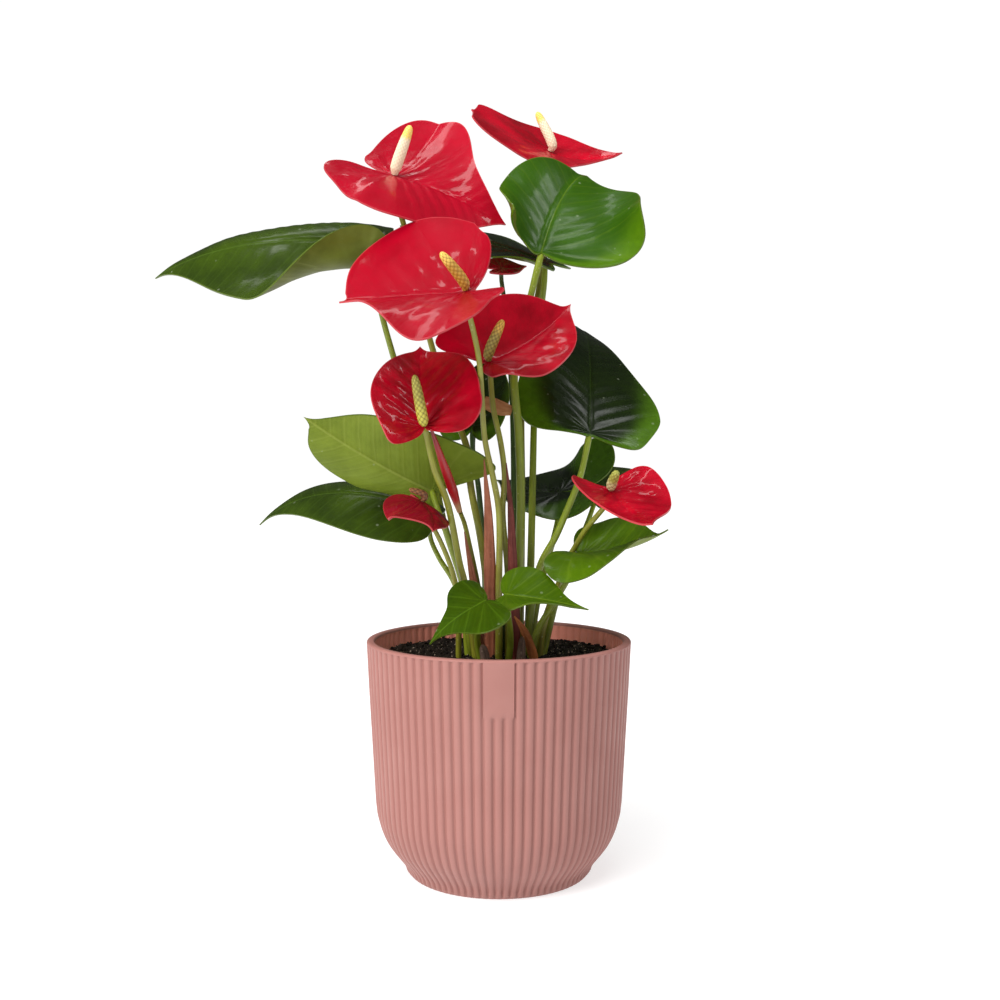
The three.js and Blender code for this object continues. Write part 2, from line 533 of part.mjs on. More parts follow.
for (const [key, s] of Object.entries(FLOWER_STEMS)) {
  const b = BLADES[key];
  const n = bladeNormal(b);
  const at = V(...b.at);
  const number = key.slice(1);
  const spathe = toManifold(blade(b, SPATHE_T));
  add(`spathe_${number}`, fromManifold(spathe), 'spathe');
  const up = (k) => at.clone().addScaledVector(n, k).toArray();
  const path = (shift) => [...s.path, up(-5 - shift), up(-SPATHE_T / 2 - GAP - shift)];
  const stem = seat((shift) => stalk(path(shift), s.half, { count: 9, endNormal: n.toArray() }), spathe);
  standing(path(0), s.half, { count: 9 });
  add(`flower_stem_${number}`, fromManifold(stem), 'stem');
  const cone = SPADICES[key];
  if (!cone) continue;
  const profile = [0.5, 0.95, 1, 1, 0.97, 0.93, 0.86, 0.7, 0.3].map((k) => k * cone.r);
  const spadix = seat((shift) => stalk([up(SPATHE_T / 2 + GAP + shift), up(4 + shift), cone.tip], profile,
    { sides: 8, count: 8 }), spathe);
  add(`spadix_${number}`, fromManifold(spadix), 'spadix');
}

standing(BUD_STEM.path, BUD_STEM.half, { count: 6 });
add('bud_stem', stalk(BUD_STEM.path, BUD_STEM.half, { count: 6 }), 'stem');
add('bud', stalk(BUD.path, BUD.half, { sides: 8, count: 8, flat: 0.85 }), 'spathe');
for (const [name, s] of Object.entries(SHEATHS)) {
  const options = { count: 7, flat: s.flat, across: s.across ?? [1, 0, 0] };
  if (s.path[0][2] < SOIL_Z) standing(s.path, s.half, options);
  add(name, stalk(s.path, s.half, options), 'sheath');
}
for (const [name, s] of Object.entries(ROOTS)) {
  standing(s.path, s.half, { count: 3, sides: 7 });
  add(name, stalk(s.path, s.half, { count: 3, sides: 7 }), 'root');
}

// ---- soil, filling the pot, with a plain hole for each stalk ----------------------------------
const SOIL_RINGS = [[3.9, 45.8], [25, 59.3], [104, SOIL_R - 0.1], [SOIL_Z - 1, SOIL_R], [SOIL_Z, 60],
  [SOIL_Z + 0.4, 48], [SOIL_Z - 0.3, 34], [SOIL_Z + 0.3, 14]];
const lump = (i, k) => 0.5 * Math.sin(i * 2.3 + k * 1.7) * Math.cos(i * 0.9 - k * 2.1);
const bulk = loft(SOIL_RINGS.map(([z, r], k) => Array.from({ length: 48 }, (_, i) => {
  const a = (2 * Math.PI * i) / 48;
  return V(r * Math.cos(a), r * Math.sin(a), z + (k > 3 ? lump(i, k) : 0));
})));
const soil = sockets.reduce((m, s) => m.subtract(s), toManifold(bulk));
add('soil', fromManifold(soil), 'soil');

export default group;
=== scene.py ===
"""Looks of the potted anthurium: heart leaves, waxy red spathes with their cones, ribbed pot and soil.

Sizes are real ones in millimetres and repeat the named sizes of the solids; meshes are written in metres.
"""

import logging
import math
from collections.abc import Callable
from dataclasses import dataclass
from enum import Enum

import bpy
import numpy as np
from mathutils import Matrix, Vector


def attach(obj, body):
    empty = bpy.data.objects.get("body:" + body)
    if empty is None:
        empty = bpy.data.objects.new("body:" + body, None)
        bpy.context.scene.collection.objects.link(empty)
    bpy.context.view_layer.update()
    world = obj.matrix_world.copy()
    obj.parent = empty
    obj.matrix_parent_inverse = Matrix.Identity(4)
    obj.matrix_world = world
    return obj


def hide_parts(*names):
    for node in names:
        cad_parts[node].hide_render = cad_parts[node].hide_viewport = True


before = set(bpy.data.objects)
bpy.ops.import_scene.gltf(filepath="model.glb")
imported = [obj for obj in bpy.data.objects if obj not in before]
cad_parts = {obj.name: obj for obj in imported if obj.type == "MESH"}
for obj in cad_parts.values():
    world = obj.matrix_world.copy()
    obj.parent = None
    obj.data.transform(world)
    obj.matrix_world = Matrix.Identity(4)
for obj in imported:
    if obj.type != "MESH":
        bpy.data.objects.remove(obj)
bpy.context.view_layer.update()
LOG = logging.getLogger("anthurium")
MM = 0.001
TOUCH = 2e-6  # metres within which points are merged
SHARP = math.radians(50)  # an edge that bends more than this stays sharp
Point = tuple[float, float, float]
Colour = tuple[float, float, float]
Profile = tuple[tuple[float, float], ...]
Array = np.ndarray
Piece = bpy.types.Object
Material = bpy.types.Material
Socket = bpy.types.NodeSocket
Form = Callable[[Array, Array], Array]


# ---- shaping -------------------------------------------------------------------------------------
def deselect() -> None:
    """Deselects every object."""
    for o in list(bpy.context.selected_objects):
        o.select_set(False)


def pick(piece: Piece) -> None:
    """Makes one piece the selected and active object."""
    deselect()
    piece.select_set(True)
    bpy.context.view_layer.objects.active = piece


def edit(piece: Piece, *steps: Callable[[], object]) -> None:
    """Runs edit-mode steps on the whole of a piece.

    Args:
        piece: the object that is shaped.
        steps: calls made in edit mode with everything selected before each.
    """
    pick(piece)
    bpy.ops.object.mode_set(mode="EDIT")
    for step in steps:
        bpy.ops.mesh.select_all(action="SELECT")
        step()
    bpy.ops.object.mode_set(mode="OBJECT")


def weld() -> None:
    """Merges the points that lie on each other."""
    bpy.ops.mesh.remove_doubles(threshold=TOUCH)


def outward() -> None:
    """Turns the faces of a closed piece outwards."""
    bpy.ops.mesh.normals_make_consistent(inside=False)


def cap() -> None:
    """Closes the open ends of a tube."""
    bpy.ops.mesh.select_all(action="DESELECT")
    bpy.ops.mesh.select_mode(type="EDGE")
    bpy.ops.mesh.select_non_manifold(extend=False)
    bpy.ops.mesh.edge_face_add()
    bpy.ops.mesh.select_mode(type="VERT")


def write_uv(piece: Piece, name: str, values: Array) -> None:
    """Writes a UV map from one pair of numbers per point.

    Args:
        piece: the object that gets the map.
        name: the map's name.
        values: an array of (points, 2).
    """
    mesh = piece.data
    layer = mesh.uv_layers.get(name) or mesh.uv_layers.new(name=name)
    corner = np.empty(len(mesh.loops), np.int32)
    mesh.loops.foreach_get("vertex_index", corner)
    layer.data.foreach_set("uv", values[corner].astype(np.float32).ravel())


def stack(*parts: Array) -> Array:
    """Joins arrays of one shape along a new last axis."""
    return np.stack(parts, -1)


def warped_grid(name: str, columns: int, rows: int, shape: Form,
                maps: Callable[[Array, Array], dict[str, Array]]) -> Piece:
    """A grid primitive whose points are carried onto a curved surface.

    Args:
        name: the piece's name.
        columns: faces along u.
        rows: faces along v.
        shape: gives the place in millimetres of the points at (u, v), both from 0 to 1.
        maps: gives the UV maps at (u, v) by name.

    Returns:
        The new object, not yet welded.
    """
    deselect()
    bpy.ops.mesh.primitive_grid_add(x_subdivisions=columns, y_subdivisions=rows, size=1.0)
    piece = bpy.context.active_object
    piece.name = piece.data.name = name
    flat = np.empty(len(piece.data.vertices) * 3, np.float32)
    piece.data.vertices.foreach_get("co", flat)
    u, v = (flat.reshape(-1, 3)[:, :2].astype(float) + 0.5).clip(0, 1).T
    u, v = np.round(u * columns) / columns, np.round(v * rows) / rows
    while piece.data.uv_layers:
        piece.data.uv_layers.remove(piece.data.uv_layers[0])
    for key, values in maps(u, v).items():
        write_uv(piece, key, values)
    piece.data.vertices.foreach_set("co", (shape(u, v) * MM).astype(np.float32).ravel())
    piece.data.update()
    return piece


def dress(piece: Piece, *materials: Material) -> None:
    """Puts materials in a piece's slots and keeps each face's slot.

    Args:
        piece: the object that is dressed.
        materials: its materials, in slot order.
    """
    slots = [f.material_index for f in piece.data.polygons]
    piece.data.materials.clear()
    for m in materials:
        piece.data.materials.append(m)
    piece.data.polygons.foreach_set("material_index", slots)


def finish(piece: Piece, slot: str, node: str, *materials: Material) -> None:
    """Smooths a piece, dresses it, and ties it to the frame.

    Args:
        piece: the finished mesh.
        slot: a name for the piece's kind of material; not used.
        node: the solid it stands for.
        materials: the piece's materials in slot order, unless it is dressed already.
    """
    pick(piece)
    bpy.ops.object.shade_smooth_by_angle(angle=SHARP)
    if materials:
        dress(piece, *materials)
    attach(piece, "root")
    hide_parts(node)
    LOG.info("%s: %d faces, stands for %s", piece.name, len(piece.data.polygons), node)


# ---- curves --------------------------------------------------------------------------------------
CURVE_STEPS = 60  # steps between two points of a path
LOOK_ROUND = 0.004  # share of a path over which its direction is taken


def smooth(a: Array) -> Array:
    """Eases 0..1 in and out."""
    a = np.clip(a, 0, 1)
    return a * a * (3 - 2 * a)


def unit(v: Array) -> Array:
    """Directions of unit length along the last axis."""
    return v / np.maximum(np.linalg.norm(v, axis=-1, keepdims=True), 1e-12)


def path_points(path: tuple[Point, ...], count: int) -> tuple[Array, Array]:
    """Evenly spaced points and directions on a smooth curve through a stalk's path.

    Args:
        path: the points the stalk goes through.
        count: how many steps.

    Returns:
        Points and unit directions, count + 1 of each.
    """
    p = np.array(path, float)
    p = np.vstack([2 * p[0] - p[1], p, 2 * p[-1] - p[-2]])
    dense = []
    for i in range(1, len(p) - 2):
        a, b, c, d = p[i - 1:i + 3]
        t0, t1, t2 = (max(np.sum((n - m) ** 2) ** 0.25, 1e-4) for m, n in ((a, b), (b, c), (c, d)))
        m1 = ((b - a) / t0 - (c - a) / (t0 + t1) + (c - b) / t1) * t1
        m2 = ((c - b) / t1 - (d - b) / (t1 + t2) + (d - c) / t2) * t1
        s = np.linspace(0, 1, CURVE_STEPS, endpoint=i == len(p) - 3)[:, None]
        dense.append(b + m1 * s + (3 * (c - b) - 2 * m1 - m2) * s ** 2 + (2 * (b - c) + m1 + m2) * s ** 3)
    q = np.vstack(dense)
    run = np.concatenate([[0], np.cumsum(np.linalg.norm(np.diff(q, axis=0), axis=1))])
    at, step = np.linspace(0, run[-1], count + 1), run[-1] * LOOK_ROUND
    points, ahead, behind = (stack(*(np.interp(np.clip(at + s, 0, run[-1]), run, axis) for axis in q.T))
                             for s in (0, step, -step))
    return points, unit(ahead - behind)


@dataclass(frozen=True)
class Stalk:
    """A round or flattened stalk: the points it goes through and its half widths from foot to top."""

    path: tuple[Point, ...]
    half: tuple[float, ...]
    flat: float = 1.0
    across: Point = (1, 0.001, 0)

    def build(self, name: str, around: int = 16, along: int = 48, lay: Array | None = None,
              relief: Form | None = None, round_tip: float = 0.0) -> Piece:
        """Models the stalk as a closed tube.

        Args:
            name: the piece's name.
            around: faces round it.
            along: faces from foot to top.
            lay: the normal of the blade that the top is laid against, if any.
            relief: height in millimetres over the tube at (turn, length share).
            round_tip: share of the length over which the tip closes.

        Returns:
            The tube, with the maps "along" (turn and length in centimetres) and "span" (share and turn).
        """
        points, ways = path_points(self.path, along)
        length = float(np.linalg.norm(np.diff(points, axis=0), axis=1).sum())
        side = np.array(self.across, float)
        sides, others = [], []
        for k, d in enumerate(ways):
            side = unit(side - d * np.dot(side, d))
            other = np.cross(d, side)
            wide = side
            if lay is not None and k == along:
                wide, other = (unit(v - d * (np.dot(v, lay) / np.dot(d, lay))) for v in (side, other))
            sides.append(wide)
            others.append(other)
        sides, others = np.array(sides), np.array(others)
        widths = np.array(self.half, float)

        def shape(u: Array, v: Array) -> Array:
            """Places the tube's points.

            Args:
                u: turns round the stalk.
                v: shares of its length.

            Returns:
                Places in millimetres.
            """
            row = np.round(v * along).astype(int)
            r = np.interp(v, np.linspace(0, 1, len(widths)), widths)
            if round_tip:
                r = r * np.sqrt(np.clip(1 - ((v - 1 + round_tip).clip(0) / round_tip) ** 2, 0, 1))
            a = 2 * math.pi * u
            lift = relief(u, v) if relief else np.zeros_like(u)
            out = (r + lift)[:, None] * np.cos(a)[:, None] * sides[row]
            return points[row] + out + (r * self.flat + lift)[:, None] * np.sin(a)[:, None] * others[row]

        piece = warped_grid(name, around, along, shape,
                            lambda u, v: {"along": stack(u, v * length / 10), "span": stack(v, u)})
        edit(piece, weld, cap, outward)
        return piece


@dataclass(frozen=True)
class Blade:
    """A heart-shaped blade: where its stalk meets it, its flat heart, how it lies, bends, folds and curls."""

    at: Point
    length: float
    half: tuple[float, float]
    lobe: float
    spread: float
    wide: float
    point: float
    heading: float
    rise: float
    roll: float
    bend: float
    fold: tuple[float, float]
    curl: tuple[float, float]
    lobe_curl: tuple[float, float] = (0, 0)
    ease: float = 1.0
    lobe_bend: float = 0.0
    sweep: float = 0.0
    twist: float = 0.0
    hem: float = 1.0
    sinus: float = 0.03
    notch: float | None = None
    bulge_left: tuple[float, ...] = (0, 0, 0, 0, 0)
    bulge_right: tuple[float, ...] = (0, 0, 0, 0, 0)

    # Where along the margin the bulges sit, and how wide they are.
    BULGE_AT = (0.55, 1, 1.5, 2, 2.5)
    BULGE_WIDTH = 0.3
    # Steps in which the bend along the midrib and the curl across it are summed up.
    BEND_STEPS = 14
    CURL_STEPS = 8
    # Millimetres over which the fold at the midrib turns, and a normal is taken.
    FOLD_WIDTH = 5
    REACH = 0.4
    # How far the side veins lean to the tip, and how they curve back.
    VEIN_SLOPE = 0.75
    VEIN_CURVE = 0.0035
    # Steps of the drawn margin, and faces round and out to it.
    EDGE_STEPS = 600
    AROUND = 168
    RINGS = 34

    def margin(self, left: bool, t: Array) -> Array:
        """Flat margin of one half of the heart.

        Args:
            left: which half.
            t: 0 at the sinus, 1 at the back of the lobe, 2 at the widest place, 3 at the tip.

        Returns:
            Flat points, x along the midrib and y to the left.
        """
        w, long, lobe = self.half[0 if left else 1], self.length, self.lobe
        ear = 0.55 * (lobe - self.notch if self.notch else lobe)
        a, b = (-(self.notch or 0.02 * long), 0), (-lobe, self.spread * w)
        c, d = (self.wide * long, w), (long, 0)
        spans = (
            (a, (a[0] - ear, self.sinus * w), (b[0], b[1] - 0.28 * w), b),
            (b, (b[0], b[1] + 0.3 * w), (c[0] - 0.45 * (c[0] + lobe), w), c),
            (c, (c[0] + 0.42 * (1 - self.wide) * long, w), (long - self.point * long, 0.12 * w), d),
        )
        p = np.zeros(t.shape + (2,))
        for i, span in enumerate(spans):
            here = (t <= 1) if i == 0 else (t > i) & (t <= i + 1) if i < 2 else t > 2
            s = (t[here] - i)[:, None]
            k = ((1 - s) ** 3, 3 * (1 - s) ** 2 * s, 3 * (1 - s) * s * s, s ** 3)
            p[here] = sum(weight * np.array(q) for weight, q in zip(k, span))
        bulge = self.bulge_left if left else self.bulge_right
        out = sum(k * np.exp(-(((t - at) / self.BULGE_WIDTH) ** 2)) for k, at in zip(bulge, self.BULGE_AT))
        out = out * np.clip(t * 4, 0, 1) * np.clip((3 - t) * 5, 0, 1)
        p = p * (1 + out / np.maximum(np.hypot(*p.T), 1e-6))[:, None]
        p[:, 1] = np.maximum(p[:, 1], 0) * (1 if left else -1)
        return p

    def spine(self, s: Array) -> tuple[Array, Array]:
        """Way of the midrib on the level, before the blade is turned to its place.

        Args:
            s: distances from the stalk in millimetres.

        Returns:
            Unit directions and sideways turns in radians.
        """
        t, back = np.clip(s / self.length, 0, None), np.clip(-s / self.lobe, 0, None)
        beta = math.radians(self.bend) * t ** self.ease - math.radians(self.lobe_bend) * back
        psi = math.radians(self.sweep) * t
        return stack(np.cos(beta) * np.cos(psi), np.cos(beta) * np.sin(psi), -np.sin(beta)), psi

    def place(self, x: Array, y: Array) -> Array:
        """Carries flat points onto the curved blade.

        Args:
            x: distances along the midrib.
            y: distances to the left of it.

        Returns:
            Places in millimetres.
        """
        def pair(values: tuple[float, float]) -> Array:
            """The left or the right value for each point."""
            return np.where(left, *values)

        left = y >= 0
        steps = (np.arange(self.BEND_STEPS) + 0.5) / self.BEND_STEPS
        p = (self.spine(x[:, None] * steps)[0] * (x / self.BEND_STEPS)[:, None, None]).sum(1)
        d, psi = self.spine(x)
        side = stack(-np.sin(psi), np.cos(psi), 0 * psi)
        n = np.cross(d, side)
        tw = (math.radians(self.twist) * np.clip(x / self.length, 0, None))[:, None]
        across, up = side * np.cos(tw) + n * np.sin(tw), n * np.cos(tw) - side * np.sin(tw)
        lobes = smooth((0.45 * self.length - x) / (0.45 * self.length + 0.4 * self.lobe))
        curl = np.radians(pair(self.curl)) + np.radians(pair(self.lobe_curl)) * lobes
        v = np.abs(y)
        s = v[:, None] * (np.arange(self.CURL_STEPS) + 0.5) / self.CURL_STEPS
        a = np.radians(pair(self.fold))[:, None] * smooth(s / self.FOLD_WIDTH)
        a = a + curl[:, None] * (s / pair(self.half)[:, None]) ** np.where(left, self.hem, 1)[:, None]
        out, lift = np.cos(a).mean(1) * v, np.sin(a).mean(1) * v
        p = p + across * np.where(left, out, -out)[:, None] + up * lift[:, None]
        h, e, r = (math.radians(k) for k in (self.heading, self.rise, self.roll))
        d0 = np.array([math.cos(h) * math.cos(e), math.sin(h) * math.cos(e), math.sin(e)])
        l0 = np.array([-math.sin(h), math.cos(h), 0])
        n0 = np.cross(d0, l0)
        l1, n1 = l0 * math.cos(r) + n0 * math.sin(r), n0 * math.cos(r) - l0 * math.sin(r)
        return np.array(self.at) + p @ np.stack([d0, l1, n1])

    def normal(self, x: Array, y: Array) -> Array:
        """Unit normals of the upper face.

        Args:
            x: distances along the midrib.
            y: distances to the left of it.

        Returns:
            One normal for each flat point.
        """
        side = np.where(y >= 0, self.REACH, -self.REACH)
        o = self.place(x, y)
        sideways = (self.place(x, y + side) - o) * np.sign(side)[:, None]
        return unit(np.cross(self.place(x + self.REACH, y) - o, sideways))

    def veins(self, x: Array, y: Array, spacing: float, fan: float) -> Array:
        """Numbers the side veins, along the midrib first and then fanned round the stalk.

        Args:
            x: distances along the midrib.
            y: distances to the left of it.
            spacing: distance between side veins in millimetres.
            fan: side veins per radian round the stalk.

        Returns:
            Vein numbers, whole on a vein and broken between two.
        """
        a = np.abs(y)
        lead = x - self.VEIN_SLOPE * a + self.VEIN_CURVE * a * a
        first = math.atan2(1, self.VEIN_SLOPE)
        return np.where(lead > 0, lead / spacing, (first - np.arctan2(a, x)).clip(-math.pi, 0) * fan)

    def build(self, name: str, thick: float, spacing: float, fan: float,
              relief: Callable[[Array, Array, Array, Array], Array]) -> Piece:
        """Models the blade: rings of points from the stalk to the margin, carried onto the curved surface.

        Args:
            name: the piece's name.
            thick: thickness in millimetres.
            spacing: distance between side veins in millimetres.
            fan: side veins per radian round the stalk.
            relief: height over the blade from (x, y, vein number, share of the way to the margin).

        Returns:
            A closed blade: upper face in slot 0, lower face in slot 1.
        """
        t = np.linspace(0, 3, self.EDGE_STEPS)
        edge = np.vstack([self.margin(True, t), self.margin(False, t[::-1])[1:]])
        run = np.concatenate([[0], np.cumsum(np.hypot(*np.diff(edge, axis=0).T))])
        tip, half = run[self.EDGE_STEPS - 1], self.AROUND // 2
        at = np.concatenate([np.linspace(0, tip, half + 1), np.linspace(tip, run[-1], half + 1)[1:]])
        rim = stack(*(np.interp(at, run, axis) for axis in edge.T))

        def flat(u: Array, v: Array) -> Array:
            """Flat place of the grid points."""
            return rim[np.round(u * self.AROUND).astype(int)] * v[:, None]

        def shape(u: Array, v: Array) -> Array:
            """Curved place of the grid points."""
            x, y = flat(u, v).T
            lift = relief(x, y, self.veins(x, y, spacing, fan), v)
            return self.place(x, y) + self.normal(x, y) * lift[:, None]

        def maps(u: Array, v: Array) -> dict[str, Array]:
            """Vein and span maps."""
            x, y = flat(u, v).T
            return {"veins": stack(self.veins(x, y, spacing, fan), np.abs(y) / 10),
                    "span": stack(v, x / self.length)}

        piece = warped_grid(name, self.AROUND, self.RINGS, shape, maps)
        edit(piece, weld)
        middle = min(piece.data.polygons, key=lambda f: (f.center - Vector(self.at) * MM).length)
        near = self.normal(np.array([0.5]), np.array([0.0]))[0]
        if Vector(near).dot(middle.normal) < 0:
            edit(piece, bpy.ops.mesh.flip_normals)
        thicken(piece, thick)
        return piece


def thicken(piece: Piece, thick: float) -> None:
    """Gives a sheet its thickness, half to each side; the lower face takes the next material slot.

    Args:
        piece: the sheet, whose faces point up.
        thick: its thickness in millimetres.
    """
    for _ in range(2):
        piece.data.materials.append(None)
    pick(piece)
    wall = piece.modifiers.new("wall", "SOLIDIFY")
    wall.thickness, wall.offset, wall.material_offset, wall.material_offset_rim = thick * MM, 0, 1, 0
    bpy.ops.object.modifier_apply(modifier=wall.name)


# ---- finishes ------------------------------------------------------------------------------------
class Nodes:
    """Short calls for wiring a material or a shader group."""

    def __init__(self, tree: bpy.types.NodeTree) -> None:
        """Starts on a node tree."""
        self.tree = tree

    def add(self, kind: str, inputs: dict[str | int, object] | None = None,
            **settings: object) -> bpy.types.Node:
        """Adds a node.

        Args:
            kind: the node's type name.
            inputs: values or output sockets for its inputs.
            settings: its own settings.

        Returns:
            The node.
        """
        node = self.tree.nodes.new(kind)
        for key, value in settings.items():
            setattr(node, key, value)
        for key, value in (inputs or {}).items():
            if isinstance(value, Socket):
                self.tree.links.new(value, node.inputs[key])
            else:
                node.inputs[key].default_value = value
        return node

    def math(self, operation: str, *values: object) -> Socket:
        """A math node's result."""
        return self.add("ShaderNodeMath", dict(enumerate(values)), operation=operation).outputs[0]

    def remap(self, value: object, low: object, high: object, a: float = 0, b: float = 1) -> Socket:
        """Maps low..high smoothly to a..b."""
        return self.add("ShaderNodeMapRange", {0: value, 1: low, 2: high, 3: a, 4: b},
                        interpolation_type="SMOOTHSTEP").outputs[0]

    def mix(self, factor: object, a: object, b: object) -> Socket:
        """Mixes two colours."""
        a, b = ((*c, 1) if isinstance(c, tuple) else c for c in (a, b))
        return self.add("ShaderNodeMix", {0: factor, 6: a, 7: b}, data_type="RGBA").outputs[2]

    def tint(self, colour: object, mask: object, show: float, over: object) -> Socket:
        """Lays a colour over another where a mask is, with a given strength."""
        return self.mix(self.math("MULTIPLY", mask, show), colour, over)

    def noise(self, vector: object, scale: object, detail: float = 3, rough: float = 0.55) -> Socket:
        """Noise strength at a vector."""
        return self.add("ShaderNodeTexNoise", {"Vector": vector, "Scale": scale, "Detail": detail,
                                               "Roughness": rough}).outputs[0]

    def scaled(self, vector: object, scale: Point) -> Socket:
        """A vector stretched along its axes."""
        return self.add("ShaderNodeMapping", {"Vector": vector, "Scale": scale}).outputs[0]

    def place(self) -> Socket:
        """Object coordinates, in metres."""
        return self.add("ShaderNodeTexCoord").outputs["Object"]

    def uv(self, name: str) -> Socket:
        """A UV map of the piece."""
        return self.add("ShaderNodeUVMap", uv_map=name).outputs[0]

    def split(self, vector: Socket) -> tuple[Socket, Socket]:
        """First two parts of a vector."""
        node = self.add("ShaderNodeSeparateXYZ", {0: vector})
        return node.outputs[0], node.outputs[1]

    def bump(self, height: object, depth: float, normal: object = None) -> Socket:
        """A bump of a given depth in millimetres.

        Args:
            height: mask from 0 to 1.
            depth: its height in millimetres.
            normal: a normal that it is laid over.

        Returns:
            The bumped normal.
        """
        inputs = {"Height": height, "Distance": depth * MM, "Strength": 1.0}
        if normal is not None:
            inputs["Normal"] = normal
        return self.add("ShaderNodeBump", inputs).outputs[0]

    def group(self, kind: "Effect", **values: object) -> bpy.types.Node:
        """Places a shared effect with its own values."""
        return self.add("ShaderNodeGroup", values, node_tree=kind.tree())

    def mask(self, kind: "Effect", **values: object) -> Socket:
        """The one result of a shared effect with its own values."""
        return self.group(kind, **values).outputs[0]

    def feed(self, node: bpy.types.Node, **values: Socket) -> None:
        """Links values to a node's inputs, which are named with _ for a space."""
        for key, value in values.items():
            self.tree.links.new(value, node.inputs[key.replace("_", " ")])


class Effect(Enum):
    """Shared effects, each a shader node group built once."""

    VEINS = "vein_lines"
    BLOTCH = "cloudy_patches"
    GRAIN = "fine_grain"
    FLECKS = "scattered_flecks"
    FIBRES = "long_fibres"

    def tree(self) -> bpy.types.NodeTree:
        """The effect's group, built at its first use."""
        found = bpy.data.node_groups.get(self.value)
        return found or getattr(self, f"_{self.value}")(Parts(self.value))

    @staticmethod
    def _vein_lines(p: "Parts") -> bpy.types.NodeTree:
        """Line along each side vein and the swelling between two of them.

        Args:
            p: the group in the making.

        Returns:
            Its node tree.
        """
        vein, width = p.takes("Veins", "NodeSocketVector"), p.takes("Width", value=0.12)
        s, _ = p.split(vein)
        wander = p.noise(p.scaled(vein, (0.4, 0.7, 0)), 1.0, 2)
        near = p.math("PINGPONG", p.math("ADD", s, p.math("MULTIPLY", wander, 0.35)), 0.5)
        p.gives("Line", p.remap(near, 0.0, width, 1.0, 0.0))
        p.gives("Swell", p.remap(near, 0.0, 0.5))
        return p.tree

    @staticmethod
    def _cloudy_patches(p: "Parts") -> bpy.types.NodeTree:
        """Soft patches over the surface.

        Args:
            p: the group in the making.

        Returns:
            Its node tree.
        """
        where, size = p.takes("Vector", "NodeSocketVector"), p.takes("Scale", value=40.0)
        low, high = p.takes("Low", value=0.38), p.takes("High", value=0.62)
        p.gives("Mask", p.remap(p.noise(where, size, 4.0, 0.6), low, high))
        return p.tree

    @staticmethod
    def _fine_grain(p: "Parts") -> bpy.types.NodeTree:
        """Even fine relief.

        Args:
            p: the group in the making.

        Returns:
            Its node tree.
        """
        where, size = p.takes("Vector", "NodeSocketVector"), p.takes("Scale", value=900.0)
        p.gives("Height", p.noise(where, size, 5.0, 0.65))
        return p.tree

    @staticmethod
    def _scattered_flecks(p: "Parts") -> bpy.types.NodeTree:
        """Small flecks, only some of the cells filled.

        Args:
            p: the group in the making.

        Returns:
            Its node tree.
        """
        where, size = p.takes("Vector", "NodeSocketVector"), p.takes("Scale", value=600.0)
        share = p.takes("Share", value=0.1)
        cell = p.add("ShaderNodeTexVoronoi", {"Vector": where, "Scale": size})
        chance = p.add("ShaderNodeSeparateColor", {0: cell.outputs["Color"]}).outputs[0]
        inside = p.remap(cell.outputs["Distance"], 0.42, 0.2)
        p.gives("Mask", p.math("MULTIPLY", inside, p.math("LESS_THAN", chance, share)))
        return p.tree

    @staticmethod
    def _long_fibres(p: "Parts") -> bpy.types.NodeTree:
        """Streaks along a stalk.

        Args:
            p: the group in the making.

        Returns:
            Its node tree.
        """
        along, count = p.takes("Along", "NodeSocketVector"), p.takes("Scale", value=14.0)
        streak = p.noise(p.scaled(along, (1.0, 0.05, 1.0)), count, 3.0, 0.6)
        p.gives("Mask", p.remap(streak, 0.35, 0.65))
        return p.tree


class Parts(Nodes):
    """A shader node group in the making, with named inputs and outputs."""

    def __init__(self, name: str) -> None:
        """Starts an empty group."""
        super().__init__(bpy.data.node_groups.new(name, "ShaderNodeTree"))
        self.inlet = self.tree.nodes.new("NodeGroupInput")
        self.outlet = self.tree.nodes.new("NodeGroupOutput")

    def takes(self, name: str, kind: str = "NodeSocketFloat", value: float | None = None) -> Socket:
        """Adds an input to the group.

        Args:
            name: the input's name.
            kind: its socket type.
            value: its value where a material gives none.

        Returns:
            Its socket inside the group.
        """
        made = self.tree.interface.new_socket(name, in_out="INPUT", socket_type=kind)
        if value is not None:
            made.default_value = value
        return self.inlet.outputs[name]

    def gives(self, name: str, value: Socket) -> None:
        """Adds an output to the group."""
        self.tree.interface.new_socket(name, in_out="OUTPUT", socket_type="NodeSocketFloat")
        self.tree.links.new(value, self.outlet.inputs[name])


def shader(name: str, **sockets: float) -> tuple[Nodes, bpy.types.Node, Material]:
    """A new material with a Principled shader.

    Args:
        name: the material's name.
        sockets: plain values for the shader's own sockets, with _ for a space.

    Returns:
        The wiring helper, the shader node and the material.
    """
    material = bpy.data.materials.new(name)
    material.use_nodes = True
    nodes = Nodes(material.node_tree)
    principled = material.node_tree.nodes["Principled BSDF"]
    for key, value in sockets.items():
        principled.inputs[key.replace("_", " ")].default_value = value
    return nodes, principled, material


